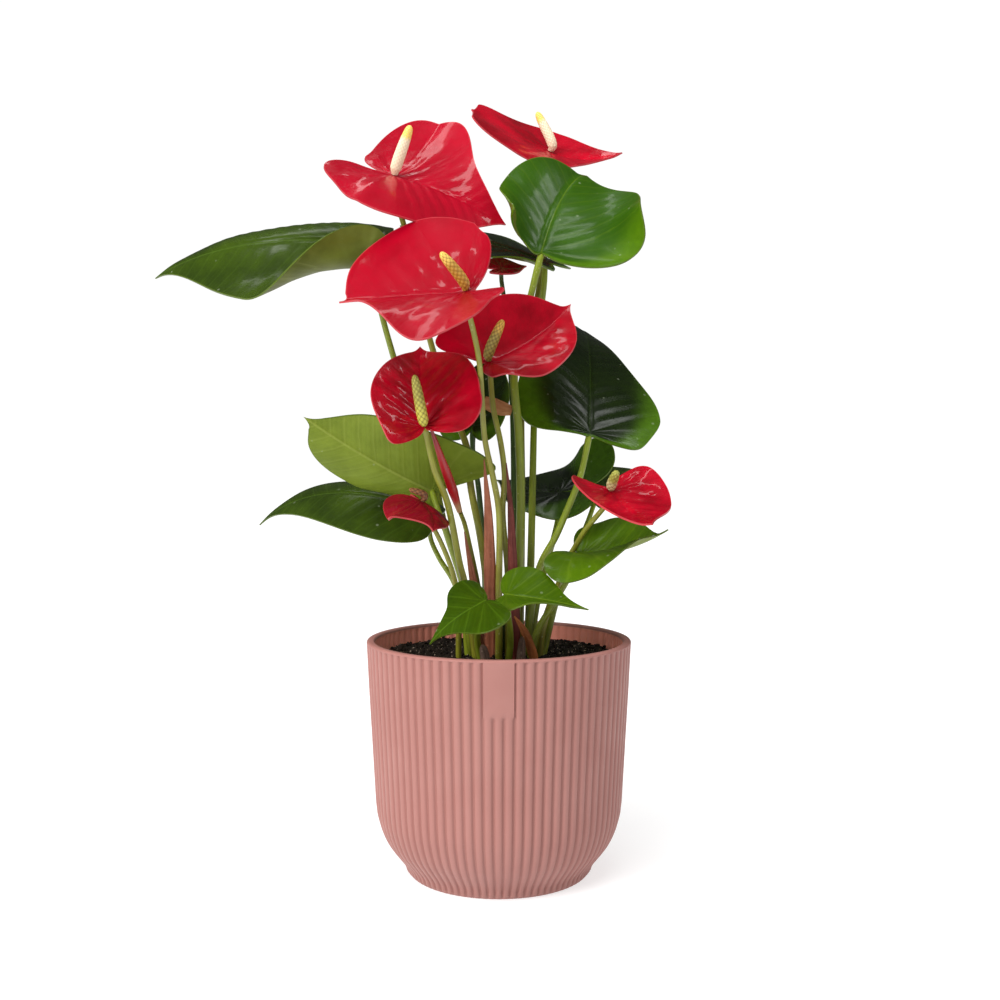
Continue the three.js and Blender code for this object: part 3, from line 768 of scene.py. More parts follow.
@dataclass(frozen=True)
class LeafFinish:
    """Upper or lower skin of a leaf: colours of the skin, of its dark patches and of its veins."""

    name: str
    skin: Colour
    shade: Colour
    vein: Colour
    roughness: float = 0.36
    coat: float = 0.22
    vein_show: float = 0.35
    quilt: float = 0.06
    edge: Colour = (0.09, 0.13, 0.015)
    # lobe: a lighter green over the outer lobes, painted light that stands for light shining through them.
    lobe: Colour | None = None

    def material(self) -> Material:
        """Wires the skin: patches, painted light on the outer lobes where a lobe colour is given, side veins,
        midrib, pale hem, fine pores.

        Returns:
            The material.
        """
        n, skin, material = shader(self.name, Coat_Roughness=0.15, Specular_IOR_Level=0.12)
        at, veins, span = n.place(), n.uv("veins"), n.uv("span")
        lines = n.group(Effect.VEINS, Veins=veins, Width=0.09)
        fine = n.group(Effect.VEINS, Veins=n.scaled(veins, (3.0, 1.0, 1.0)), Width=0.2)
        cloud = n.mask(Effect.BLOTCH, Vector=at, Scale=45.0, Low=0.3, High=0.7)
        small = n.mask(Effect.BLOTCH, Vector=at, Scale=260.0, Low=0.35, High=0.65)
        _, across = n.split(veins)
        share, along = n.split(span)
        midrib = n.remap(across, 0.07, 0.025)
        colour = n.mix(cloud, self.skin, self.shade)
        # Painted light: the outer lobes are lightened towards the lobe colour.
        if self.lobe:
            outer = n.math("ADD", share, n.math("MULTIPLY", along, -1.1))
            colour = n.mix(n.remap(outer, 0.4, 0.75), colour, self.lobe)
        colour = n.tint(colour, small, 0.22, self.shade)
        colour = n.tint(colour, fine.outputs["Line"], self.vein_show * 0.3, self.vein)
        colour = n.tint(colour, lines.outputs["Line"], self.vein_show, self.vein)
        colour = n.tint(colour, midrib, min(1.0, self.vein_show * 2.2), self.vein)
        colour = n.mix(n.remap(share, 0.985, 1.0, 0, 0.7), colour, self.edge)
        flecks = n.mask(Effect.FLECKS, Vector=at, Scale=420.0, Share=0.014)
        colour = n.tint(colour, flecks, 0.2, (0.45, 0.5, 0.35))
        n.feed(skin, Base_Color=colour)
        grain = n.mask(Effect.GRAIN, Vector=at, Scale=900.0)
        rough = n.math("ADD", n.math("MULTIPLY", cloud, 0.08), self.roughness - 0.04)
        n.feed(skin, Roughness=n.math("ADD", rough, n.math("MULTIPLY", flecks, 0.3)))
        n.feed(skin, Coat_Weight=n.remap(small, 0, 1, self.coat, self.coat * 0.7))
        bump = n.bump(lines.outputs["Swell"], self.quilt)
        bump = n.bump(fine.outputs["Swell"], self.quilt * 0.3, bump)
        n.feed(skin, Normal=n.bump(grain, 0.03, bump))
        return material


@dataclass(frozen=True)
class SpatheFinish:
    """Waxy skin of a spathe."""

    name: str
    skin: Colour
    shade: Colour
    roughness: float = 0.3
    coat: float = 0.36
    pucker: float = 0.12
    hem: Colour = (0.50, 0.06, 0.07)

    def material(self) -> Material:
        """Wires the skin: deeper red in patches, a painted shade where a skin's shade is set far darker,
        puckers along the veins, pale hem, paler eye.

        Returns:
            The material.
        """
        n, skin, material = shader(self.name, Coat_Roughness=0.07, Specular_IOR_Level=0.1)
        at, veins, span = n.place(), n.uv("veins"), n.uv("span")
        lines = n.group(Effect.VEINS, Veins=veins, Width=0.12)
        cloud = n.mask(Effect.BLOTCH, Vector=at, Scale=38.0, Low=0.3, High=0.72)
        small = n.mask(Effect.BLOTCH, Vector=at, Scale=420.0, Low=0.4, High=0.62)
        share, _ = n.split(span)
        colour = n.mix(cloud, self.skin, self.shade)
        colour = n.tint(colour, lines.outputs["Line"], 0.1, self.shade)
        colour = n.tint(colour, small, 0.12, self.shade)
        colour = n.mix(n.remap(share, 0.05, 0.02, 0, 0.5), colour, self.hem)
        colour = n.mix(n.remap(share, 0.985, 1.0, 0, 0.6), colour, self.hem)
        n.feed(skin, Base_Color=colour)
        grain = n.mask(Effect.GRAIN, Vector=at, Scale=700.0)
        n.feed(skin, Roughness=n.math("ADD", n.math("MULTIPLY", small, 0.08), self.roughness))
        n.feed(skin, Coat_Weight=n.remap(cloud, 0, 1, self.coat, self.coat * 0.8))
        crumple = n.noise(n.scaled(veins, (3.0, 0.8, 1)), 1.8, 3)
        bump = n.bump(lines.outputs["Swell"], self.pucker)
        bump = n.bump(crumple, self.pucker * 1.5, bump)
        n.feed(skin, Normal=n.bump(grain, 0.02, bump))
        return material


@dataclass(frozen=True)
class StalkFinish:
    """Skin of a stem or petiole, from its foot to its top."""

    name: str
    foot: Colour
    top: Colour
    streak: Colour
    roughness: float = 0.42
    fibre: float = 0.05

    def material(self) -> Material:
        """Wires the skin: a fade from foot to top, long streaks and fine lenticels.

        Returns:
            The material.
        """
        n, skin, material = shader(self.name, Coat_Roughness=0.25, Coat_Weight=0.12)
        at, along, span = n.place(), n.uv("along"), n.uv("span")
        fibres = n.mask(Effect.FIBRES, Along=along, Scale=9.0)
        cloud = n.mask(Effect.BLOTCH, Vector=at, Scale=90.0, Low=0.35, High=0.65)
        share, _ = n.split(span)
        colour = n.mix(n.remap(share, 0.1, 0.9), self.foot, self.top)
        colour = n.tint(colour, fibres, 0.45, self.streak)
        colour = n.tint(colour, cloud, 0.25, self.streak)
        flecks = n.mask(Effect.FLECKS, Vector=at, Scale=700.0, Share=0.06)
        colour = n.tint(colour, flecks, 0.35, (0.5, 0.5, 0.25))
        n.feed(skin, Base_Color=colour)
        n.feed(skin, Roughness=n.remap(cloud, 0, 1, self.roughness - 0.05, self.roughness + 0.1))
        bump = n.bump(fibres, self.fibre)
        grain = n.mask(Effect.GRAIN, Vector=at, Scale=1400.0)
        n.feed(skin, Normal=n.bump(grain, 0.02, bump))
        return material


@dataclass(frozen=True)
class ConeFinish:
    """Skin of a spadix: colour from foot to tip, on its crowns, and painted shade in the gaps between its
    lobes.
    """

    name: str
    foot: Colour
    tip: Colour
    crown: Colour
    gap_shade: Colour
    turn: float = 0.62
    soft: float = 0.12

    def material(self) -> Material:
        """Wires the skin: little lobes in rows, lighter crowns, painted shade in the gaps, a warmer tip.

        Returns:
            The material.
        """
        n, skin, material = shader(self.name, Coat_Weight=0.1, Coat_Roughness=0.3)
        at, cells, span = n.place(), n.uv("along"), n.uv("span")
        share, _ = n.split(span)
        wobble = n.math("MULTIPLY", n.math("SUBTRACT", n.noise(at, 160.0, 3), 0.5), 0.16)
        height = n.math("ADD", share, wobble)
        colour = n.mix(n.remap(height, self.turn - self.soft, self.turn + self.soft), self.foot, self.tip)
        a, b = n.split(cells)
        lobe = n.math("MULTIPLY", n.math("PINGPONG", a, 0.5), n.math("PINGPONG", b, 0.5))
        colour = n.mix(n.remap(lobe, 0.12, 0.24, 0, 0.75), colour, self.crown)
        # Painted shade: darker where the lobes meet.
        colour = n.mix(n.remap(lobe, 0.05, 0.0, 0, 0.8), colour, self.gap_shade)
        n.feed(skin, Base_Color=colour)
        n.feed(skin, Roughness=n.remap(lobe, 0.0, 0.2, 0.62, 0.48))
        grain = n.mask(Effect.GRAIN, Vector=at, Scale=2200.0)
        n.feed(skin, Normal=n.bump(grain, 0.03, n.bump(lobe, 0.2)))
        return material


@dataclass(frozen=True)
class PlainFinish:
    """Pot plastic, soil, dry sheath or root: patches, flecks and grain of different size."""

    name: str
    body: Colour
    patch: Colour
    fleck: Colour
    patch_scale: float
    grain_scale: float
    grain_depth: float
    fleck_scale: float = 700.0
    fleck_share: float = 0.05
    fleck_show: float = 0.3
    patch_show: float = 0.5
    roughness: float = 0.6
    fibres: float = 0.0
    # groove: colour mixed into the grooves by their depth, a painted shade.
    groove: Colour | None = None
    # inside: colour mixed over the inner wall, a painted light that lifts the shaded inside.
    inside: Colour = (1.0, 0.36, 0.27)

    def material(self) -> Material:
        """Wires the surface: patches, flecks, grain, fibres, and where grooves are given, painted shade in
        the grooves and painted light on the inner wall.

        Returns:
            The material.
        """
        n, skin, material = shader(self.name, Specular_IOR_Level=0.4)
        at = n.place()
        cloud = n.mask(Effect.BLOTCH, Vector=at, Scale=self.patch_scale, Low=0.32, High=0.68)
        flecks = n.mask(Effect.FLECKS, Vector=at, Scale=self.fleck_scale, Share=self.fleck_share)
        grain = n.mask(Effect.GRAIN, Vector=at, Scale=self.grain_scale)
        colour = n.tint(self.body, cloud, self.patch_show, self.patch)
        if self.groove:
            deep, row = n.split(n.uv("span"))
            # Painted shade: the grooves are darkened by how deep they lie.
            colour = n.mix(n.remap(deep, 0.1, 1.0, 0, 0.5), colour, self.groove)
            # Painted light: the inner wall is brightened with the inside colour.
            colour = n.mix(n.remap(row, 0.735, 0.76, 0, 0.85), colour, self.inside)
        bump = n.bump(grain, self.grain_depth)
        if self.fibres:
            fibre = n.mask(Effect.FIBRES, Along=n.uv("along"), Scale=7.0)
            colour = n.tint(colour, fibre, 0.7, self.patch)
            bump = n.bump(fibre, self.fibres, bump)
        colour = n.tint(colour, flecks, self.fleck_show, self.fleck)
        n.feed(skin, Base_Color=colour)
        n.feed(skin, Roughness=n.remap(cloud, 0, 1, self.roughness - 0.05, self.roughness + 0.06))
        n.feed(skin, Normal=bump)
        return material


# ---- leaves and flowers --------------------------------------------------------------------------
LEAF_THICK = 0.8
SPATHE_THICK = 0.9
GAP = 0.3


class LeafSkin(Enum):
    """Upper skins of the leaves."""

    BRIGHT = LeafFinish("leaf_bright", (0.026, 0.082, 0.0010), (0.019, 0.062, 0.0008), (0.08, 0.14, 0.004),
                        # lobe: painted light on the outer lobes.
                        vein_show=0.26, quilt=0.04, lobe=(0.060, 0.140, 0.0010))
    FRESH = LeafFinish("leaf_fresh", (0.031, 0.066, 0.0012), (0.020, 0.046, 0.0010), (0.07, 0.14, 0.006))
    # Partly the leaves' own lighter green, partly a painted sheen: lighter than the other skins to stand for
    # their white-ish gloss.
    LIGHT_AND_SHEEN = LeafFinish("leaf_light_and_sheen", (0.066, 0.136, 0.0020), (0.044, 0.098, 0.0016), (0.12, 0.20, 0.010))
    DARK = LeafFinish("leaf_dark", (0.034, 0.062, 0.004), (0.018, 0.034, 0.003), (0.06, 0.11, 0.012),
                      roughness=0.3, vein_show=0.2)
    # Painted shade: a much darker copy of the leaf green, laid over the leaves' own dark green, for the
    # leaves that sit in shade.
    DEEP_IN_SHADE = LeafFinish("leaf_deep_in_shade", (0.012, 0.024, 0.003), (0.006, 0.013, 0.002), (0.028, 0.055, 0.006),
                      # lobe: painted light on the outer lobes.
                      roughness=0.26, vein_show=0.16, lobe=(0.055, 0.130, 0.004))


class LeafBack(Enum):
    """Lower skins of the leaves."""

    PALE = LeafFinish("leaf_back_pale", (0.170, 0.225, 0.022), (0.120, 0.165, 0.014), (0.24, 0.29, 0.05),
                      roughness=0.5, coat=0.03, vein_show=0.25, quilt=0.1)
    OLIVE = LeafFinish("leaf_back_olive", (0.125, 0.145, 0.018), (0.075, 0.090, 0.010), (0.19, 0.22, 0.05),
                       roughness=0.5, coat=0.03, vein_show=0.3, quilt=0.12)


class SpatheSkin(Enum):
    """Skins of the spathes."""

    BRIGHT = SpatheFinish("spathe_bright", (0.38, 0.0006, 0.014), (0.29, 0.0003, 0.009))
    # Painted shade: a darker copy of the bright spathe red, for a spathe turned away from the light.
    EVEN = SpatheFinish("spathe_bright_in_shade", (0.325, 0.0005, 0.011), (0.245, 0.0003, 0.007), coat=0.3)
    # Painted shade: the shade patches are set far darker than the skin to stand for the shaded parts of these
    # spathes.
    DARK = SpatheFinish("spathe_dark_painted_shade", (0.46, 0.0006, 0.014), (0.20, 0.0002, 0.005))
    FADED = SpatheFinish("spathe_faded", (0.26, 0.004, 0.016), (0.13, 0.001, 0.006), roughness=0.35, coat=0.2)
    BACK = SpatheFinish("spathe_back", (0.34, 0.010, 0.026), (0.22, 0.004, 0.014), roughness=0.42, coat=0.1)


class ConeSkin(Enum):
    """Skins of the spadices."""

    # The fourth colour of each is painted shade in the gaps between the lobes.
    CREAM = ConeFinish("cone_cream", (0.86, 0.72, 0.50), (0.90, 0.60, 0.035), (0.90, 0.80, 0.60),
                       (0.70, 0.55, 0.36), turn=0.74, soft=0.05)
    GOLD = ConeFinish("cone_gold", (0.52, 0.29, 0.035), (0.88, 0.62, 0.13), (0.80, 0.55, 0.16),
                      (0.30, 0.14, 0.012), turn=0.72, soft=0.1)
    OLIVE = ConeFinish("cone_olive", (0.30, 0.23, 0.04), (0.62, 0.34, 0.04), (0.52, 0.44, 0.13),
                       (0.12, 0.08, 0.015), turn=0.72, soft=0.12)
    GREEN = ConeFinish("cone_green", (0.50, 0.46, 0.06), (0.30, 0.27, 0.04), (0.58, 0.56, 0.17),
                       (0.14, 0.11, 0.02), turn=0.45, soft=0.2)
    LIME = ConeFinish("cone_lime", (0.62, 0.60, 0.30), (0.32, 0.33, 0.05), (0.60, 0.60, 0.25),
                      (0.22, 0.2, 0.05), turn=0.5, soft=0.15)
    BROWN = ConeFinish("cone_brown", (0.20, 0.075, 0.030), (0.26, 0.10, 0.035), (0.32, 0.13, 0.05),
                       (0.07, 0.025, 0.012), turn=0.5, soft=0.3)


class StalkSkin(Enum):
    """Skins of the stems and petioles."""

    PETIOLE = StalkFinish("petiole_green", (0.190, 0.230, 0.014), (0.240, 0.315, 0.020),
                          (0.115, 0.140, 0.008))
    STEM = StalkFinish("stem_green", (0.215, 0.225, 0.018), (0.250, 0.265, 0.024), (0.135, 0.100, 0.012))
    SHADED = StalkFinish("stem_shaded", (0.06, 0.11, 0.02), (0.045, 0.09, 0.02), (0.03, 0.06, 0.012))


def waxed(skin: Enum) -> Material:
    """The material of a named skin, made at its first use."""
    return bpy.data.materials.get(skin.value.name) or skin.value.material()


@dataclass
class Leaf:
    """A leaf on its petiole, one grown piece."""

    blade: Blade
    petiole: Stalk
    skin: LeafSkin = LeafSkin.FRESH
    back: LeafBack = LeafBack.PALE
    stalk: StalkSkin = StalkSkin.PETIOLE
    vein_gap: float = 9.0
    swell: float = 0.12

    # Side veins per radian round the stalk, the midrib's groove and the margin's wave in millimetres.
    FAN = 1.9
    RIB_DEPTH = 0.55
    RIB_WIDTH = 1.1
    WAVE = 0.5
    # The joint below the blade: its height in millimetres, and its place and length along the petiole.
    KNEE = 0.28
    KNEE_AT = 0.955
    KNEE_LENGTH = 0.03

    def relief(self, x: Array, y: Array, s: Array, v: Array) -> Array:
        """Midrib groove, the swelling between the side veins and the waved margin.

        Args:
            x: distances along the midrib.
            y: distances to the left of it.
            s: side vein numbers.
            v: shares of the way to the margin.

        Returns:
            Height over the blade in millimetres.
        """
        a = np.abs(y)
        taper = smooth(x / 6) * (0.25 + 0.75 * np.clip(1 - x / self.blade.length, 0, 1))
        rib = -self.RIB_DEPTH * np.exp(-((a / self.RIB_WIDTH) ** 2)) * np.where(x > 0, taper, 0)
        quilt = -np.cos(2 * math.pi * s) * self.swell * smooth(a / 7) * smooth((1 - v) / 0.22)
        wave = self.WAVE * np.sin(x * 0.11 + np.sign(y) * 1.1) * smooth((v - 0.55) / 0.45) * smooth(a / 8)
        return rib + quilt + wave

    def knee(self, _: Array, v: Array) -> Array:
        """The thicker joint near the top of the petiole."""
        return self.KNEE * np.exp(-(((v - self.KNEE_AT) / self.KNEE_LENGTH) ** 2))

    def build(self, name: str) -> None:
        """Models blade and petiole and joins them.

        Args:
            name: the solid's name.
        """
        b = self.blade
        top = np.array([0.0])
        normal = b.normal(top + 0.5, top)[0]
        blade = b.build(f"{name}_looks", LEAF_THICK, self.vein_gap, self.FAN, self.relief)
        petiole = Stalk((*self.petiole.path, b.at), self.petiole.half).build(
            f"{name}_petiole", lay=normal, relief=self.knee, along=64)
        dress(blade, waxed(self.skin), waxed(self.back))
        dress(petiole, waxed(self.stalk))
        pick(blade)
        petiole.select_set(True)
        bpy.ops.object.join()
        finish(blade, "leaf", name)


@dataclass
class Flower:
    """A spathe with its cone, on its own stem."""

    blade: Blade
    stem: Stalk
    cone_tip: Point | None = None
    cone_radius: float = 0.0
    skin: SpatheSkin = SpatheSkin.DARK
    cone: ConeSkin = ConeSkin.OLIVE
    stalk: StalkSkin = StalkSkin.STEM
    wrinkle: float = 0.3
    vein_gap: float = 8.0

    # Side veins per radian round the stalk, the midrib's groove and the margin's wave in millimetres.
    FAN = 2.3
    RIB_DEPTH = 0.7
    RIB_WIDTH = 1.6
    WAVE = 0.6
    # Straight stretches of stem and cone below and above the spathe, and the cone's widths to its tip.
    SEAT = 5
    CONE_FOOT = 4
    CONE_PROFILE = (0.5, 0.95, 1, 1, 0.97, 0.93, 0.86, 0.72, 0.5)

    def relief(self, x: Array, y: Array, s: Array, v: Array) -> Array:
        """Creases that run out from the cone, broken along their length, midrib and waved margin.

        Args:
            x: distances along the midrib.
            y: distances to the left of it.
            s: side vein numbers.
            v: shares of the way to the margin.

        Returns:
            Height over the spathe in millimetres.
        """
        a = np.abs(y)
        r = np.hypot(x, y)
        fade = smooth(r / 8) * smooth((1 - v) / 0.35)
        broken = 0.75 + 0.35 * np.sin(r * 0.42 + s * 2.1) + 0.2 * np.sin(r * 0.95 - s * 1.3)
        crease = -np.cos(2 * math.pi * s + 0.35 * np.sin(r * 0.3)) * broken
        rib = -self.RIB_DEPTH * np.exp(-((a / self.RIB_WIDTH) ** 2)) * np.where(x > 0, smooth(x / 5), 0)
        wave = self.WAVE * np.sin(x * 0.13 + np.sign(y) * 2.0) * smooth((v - 0.6) / 0.4) * smooth(a / 8)
        return self.wrinkle * crease * fade + rib * smooth((1 - v) / 0.3) + wave

    def build(self, number: str) -> None:
        """Models the spathe, its stem and its cone.

        Args:
            number: the flower's number in the solids' names.
        """
        b = self.blade
        zero = np.array([0.0])
        normal, at = b.normal(zero + 0.5, zero)[0], np.array(b.at)

        def up(height: float) -> Point:
            """A place over the point where the stem meets the spathe."""
            return tuple(at + normal * height)

        spathe = b.build(f"spathe_{number}_looks", SPATHE_THICK, self.vein_gap, self.FAN, self.relief)
        finish(spathe, "spathe", f"spathe_{number}", waxed(self.skin), waxed(SpatheSkin.BACK))
        foot = SPATHE_THICK / 2 + GAP
        stem = Stalk((*self.stem.path, up(-self.SEAT), up(-foot)), self.stem.half).build(
            f"flower_stem_{number}_looks", lay=normal, along=72)
        finish(stem, "stem", f"flower_stem_{number}", waxed(self.stalk))
        if self.cone_tip is None:
            return
        r = self.cone_radius
        core = Stalk((up(foot), up(self.CONE_FOOT), self.cone_tip), tuple(r * k for k in self.CONE_PROFILE))
        cone = Cone(core, r, 1.1, 0.07) if self.cone is ConeSkin.CREAM else Cone(core, r, 1.4, 0.2)
        finish(cone.build(f"spadix_{number}_looks"), "spadix", f"spadix_{number}", waxed(self.cone))


@dataclass
class Cone:
    """A spadix: rows of little lobes wound round a tapering cone."""

    core: Stalk
    radius: float
    lobe: float
    rise: float

    ROUND_TIP = 0.09  # share of the length

    def build(self, name: str) -> Piece:
        """Models the cone with its lobes.

        Args:
            name: the piece's name.

        Returns:
            The cone, with the map "along" counting its lobes.
        """
        points, _ = path_points(self.core.path, 40)
        long = float(np.linalg.norm(np.diff(points, axis=0), axis=1).sum())
        turns = max(8, round(2 * math.pi * self.radius / self.lobe))
        rows = long / self.lobe

        def cells(u: Array, v: Array) -> tuple[Array, Array]:
            """Numbers of the two windings of lobes."""
            return turns * u / 2 + rows * v / 2, turns * u / 2 - rows * v / 2

        def relief(u: Array, v: Array) -> Array:
            """Height of the lobes."""
            a, b = cells(u, v)
            lobe = np.abs(np.sin(math.pi * a) * np.sin(math.pi * b)) ** 0.6
            return (lobe - 0.75) * self.rise * smooth(v / 0.06) * smooth((1 - v) / 0.05)

        piece = self.core.build(name, turns * 8, int(rows * 7), relief=relief, round_tip=self.ROUND_TIP)
        layer, span = piece.data.uv_layers["along"], piece.data.uv_layers["span"]
        pairs = np.empty(len(piece.data.loops) * 2, np.float32)
        span.data.foreach_get("uv", pairs)
        v, u = pairs.reshape(-1, 2).astype(float).T
        layer.data.foreach_set("uv", stack(*cells(u, v)).astype(np.float32).ravel())
        return piece


LEAVES: dict[str, Leaf] = {
    "leaf_1": Leaf(
        Blade(at=(-68.3, 12, 332.5), length=135, half=(55, 39), lobe=12, spread=0.58, wide=0.2,
              point=0.3, heading=190, rise=7, roll=-69, bend=55, sweep=7, twist=18, fold=(-14, -15),
              curl=(60, -64), lobe_curl=(113, 4), bulge_left=(-2, 0, 6, 3, -1),
              bulge_right=(0, 0, 0, -1, 10)),
        Stalk(path=((-10, 5, 106), (-20, 17, 151), (-29.8, 28, 180), (-36, 30, 207), (-45.5, 25, 233),
               (-56, 15, 270), (-64.3, 12, 302.3)), half=(2.2, 1.9, 1.7, 1.4)),
        skin=LeafSkin.DARK, back=LeafBack.OLIVE),
    "leaf_2": Leaf(
        Blade(at=(23, 12, 329), length=77.5, half=(35, 56.5), lobe=5, spread=0.56, wide=0.15,
              point=0.25, heading=68.4, rise=55.4, roll=11.8, bend=46, ease=3.1, lobe_bend=-39,
              sweep=-17, twist=-3, hem=1.55, fold=(37.5, -22), curl=(-27, 80), lobe_curl=(105, -30),
              bulge_left=(3, 4, 4, -3, 11), bulge_right=(1, -2, -1, 0, 9)),
        Stalk(path=((7, 2, 106), (10.6, -1, 162), (11.6, -2, 196), (10.3, -3, 233), (8, -2, 262),
               (12, 9, 285), (17, 10, 305)), half=(2.3, 2.4, 2.1, 1.6)),
        skin=LeafSkin.BRIGHT, back=LeafBack.OLIVE, swell=0.06),
    "leaf_3": Leaf(
        Blade(at=(48, 0, 232), length=125, half=(40, 37), lobe=5, spread=0.61, wide=0.15, point=0.25,
              heading=85, rise=52, roll=20, bend=50, ease=1.5, lobe_bend=-6, sweep=-7, twist=7,
              fold=(11, -5), curl=(-11, 6), lobe_curl=(-29, 6), bulge_left=(-3, -4, 0, 1, 0),
              bulge_right=(-4, 0, -1, 4, -3)),
        Stalk(path=((14, -3, 106), (17, -2, 138), (22, -2, 162), (30, -2, 177), (36, -2, 191),
               (43, -2, 209)), half=(2.3, 1.9, 1.8, 1.5)),
        skin=LeafSkin.DEEP_IN_SHADE),
    "leaf_4": Leaf(
        Blade(at=(-35, -5, 201), length=78, half=(37, 23), lobe=16, spread=0.68, wide=0.15, point=0.22,
              heading=202, rise=24, roll=75, bend=-5, lobe_bend=-4, sweep=10, twist=4, fold=(-21, 21),
              curl=(-34, 43), lobe_curl=(6, 44), bulge_left=(-10, 6, 2, 0, 5),
              bulge_right=(-13, -15, -1, 4, 14)),
        Stalk(path=((-13, -4, 106), (-19, -6, 152), (-27, -9, 178), (-31, -11, 190)),
               half=(2, 1.8, 1.4)),
        skin=LeafSkin.FRESH),
    "leaf_5": Leaf(
        Blade(at=(-37, 7, 188), length=119, half=(28, 27), lobe=7, spread=0.45, wide=0.2, point=0.3,
              heading=171, rise=26, roll=-36, bend=68, lobe_bend=1, sweep=9, twist=-10, fold=(-4, -10),
              curl=(-5, -33), lobe_curl=(-12, 0), bulge_left=(0, -2, 0, 0, 0),
              bulge_right=(-4, -4, 0, 0, 1)),
        Stalk(path=((-16, 4, 106), (-19.5, 4, 138), (-24.5, 5, 153), (-32, 6, 165), (-36.7, 7, 176)),
               half=(1.8, 1.5, 1.2)),
        skin=LeafSkin.DARK),
    "leaf_6": Leaf(
        Blade(at=(26, 42, 328), length=91, half=(25, 24), lobe=12, spread=0.5, wide=0.18, point=0.25,
              heading=165, rise=23, roll=-30, bend=14, sweep=4, twist=-8, fold=(3, -8), curl=(5, -13),
              lobe_curl=(38, -26), bulge_left=(-3, -4, -2, 0, 0)),
        Stalk(path=((15, 4, 106), (17, 4, 161), (19, 18, 236), (20.3, 33, 262), (23.2, 43, 295),
               (25, 42, 312)), half=(2.2, 1.8, 1.4)),
        skin=LeafSkin.DEEP_IN_SHADE, back=LeafBack.OLIVE),
    "leaf_7": Leaf(
        Blade(at=(35, 46, 199), length=48, half=(27, 33), lobe=30, spread=0.53, wide=0.15, point=0.25,
              heading=145, rise=-1, roll=-34, bend=-9, lobe_bend=-13, sweep=-17, twist=15, fold=(10, 0),
              curl=(1, -10), lobe_curl=(-21, 55), bulge_left=(0, 0, 2, -2, 0),
              bulge_right=(0, 0, 7, 0, 0)),
        Stalk(path=((16, 12, 106), (20, 16, 136), (25, 24, 157), (31, 34, 175), (34, 42, 188)),
               half=(2.2, 1.9, 1.5)),
        skin=LeafSkin.DEEP_IN_SHADE),
    "leaf_8": Leaf(
        Blade(at=(57, 60, 198), length=47, half=(18, 19), lobe=10, spread=0.5, wide=0.2, point=0.3,
              heading=43, rise=36, roll=24, bend=44, sweep=5, twist=4, fold=(7, 8), curl=(-10, 0)),
        Stalk(path=((22, 6, 106), (33, 18, 146), (45, 38, 170), (53, 54, 187)), half=(2, 1.7, 1.3)),
        skin=LeafSkin.DARK),
    "leaf_9": Leaf(
        Blade(at=(43, -3, 168), length=49, half=(34, 36), lobe=10, spread=0.59, wide=0.18, point=0.35,
              heading=-19, rise=0, roll=0, bend=-33, lobe_bend=-19, sweep=5, twist=-4, sinus=0.2,
              fold=(36, 24), curl=(-4, -72), lobe_curl=(-15, -17), bulge_left=(-4, 1, 0, 0, 6),
              bulge_right=(2, 3, 2, 0, 3)),
        Stalk(path=((15, -9, 106), (20, -8, 127), (28, -7, 141), (36, -5, 154)), half=(2, 1.7, 1.3)),
        skin=LeafSkin.LIGHT_AND_SHEEN),
    "leaf_10": Leaf(
        Blade(at=(-7, -45, 148), length=35, half=(24, 25), lobe=5, spread=0.62, wide=0.2, point=0.35,
              heading=202, rise=-20, roll=-17, bend=41, lobe_bend=-1, sweep=-13, fold=(-2, 1),
              curl=(-3, -5), lobe_curl=(-6, 15), bulge_left=(1, 1, 0, 0, -2),
              bulge_right=(0, 0, 0, 0, -4)),
        Stalk(path=((-7, -16, 106), (-11, -24, 125), (-9, -36, 138)), half=(2, 1.6, 1.2)),
        skin=LeafSkin.FRESH),
    "leaf_11": Leaf(
        Blade(at=(4, -34, 150), length=42, half=(21, 19), lobe=5, spread=0.53, wide=0.2, point=0.35,
              heading=-16, rise=-3, roll=30, bend=21, lobe_bend=11, sweep=10, twist=-12, fold=(9, 21),
              curl=(5, 16), lobe_curl=(-5, -36), bulge_right=(-3, 0, -1, 1, 0)),
        Stalk(path=((4, -16, 106), (6, -22, 125), (5, -28.5, 139)), half=(2, 1.6, 1.2)),
        skin=LeafSkin.LIGHT_AND_SHEEN),
    "leaf_12": Leaf(
        Blade(at=(-14, 12, 236), length=52, half=(22, 22), lobe=10, spread=0.5, wide=0.18, point=0.25,
              heading=62, rise=64, roll=0, bend=10, fold=(12, 10), curl=(8, 8)),
        Stalk(path=((-6, 12, 106), (-8, 12, 163), (-11, 13, 202), (-14, 12, 222)), half=(2, 1.6, 1.3)),
        skin=LeafSkin.DEEP_IN_SHADE, stalk=StalkSkin.SHADED),
}
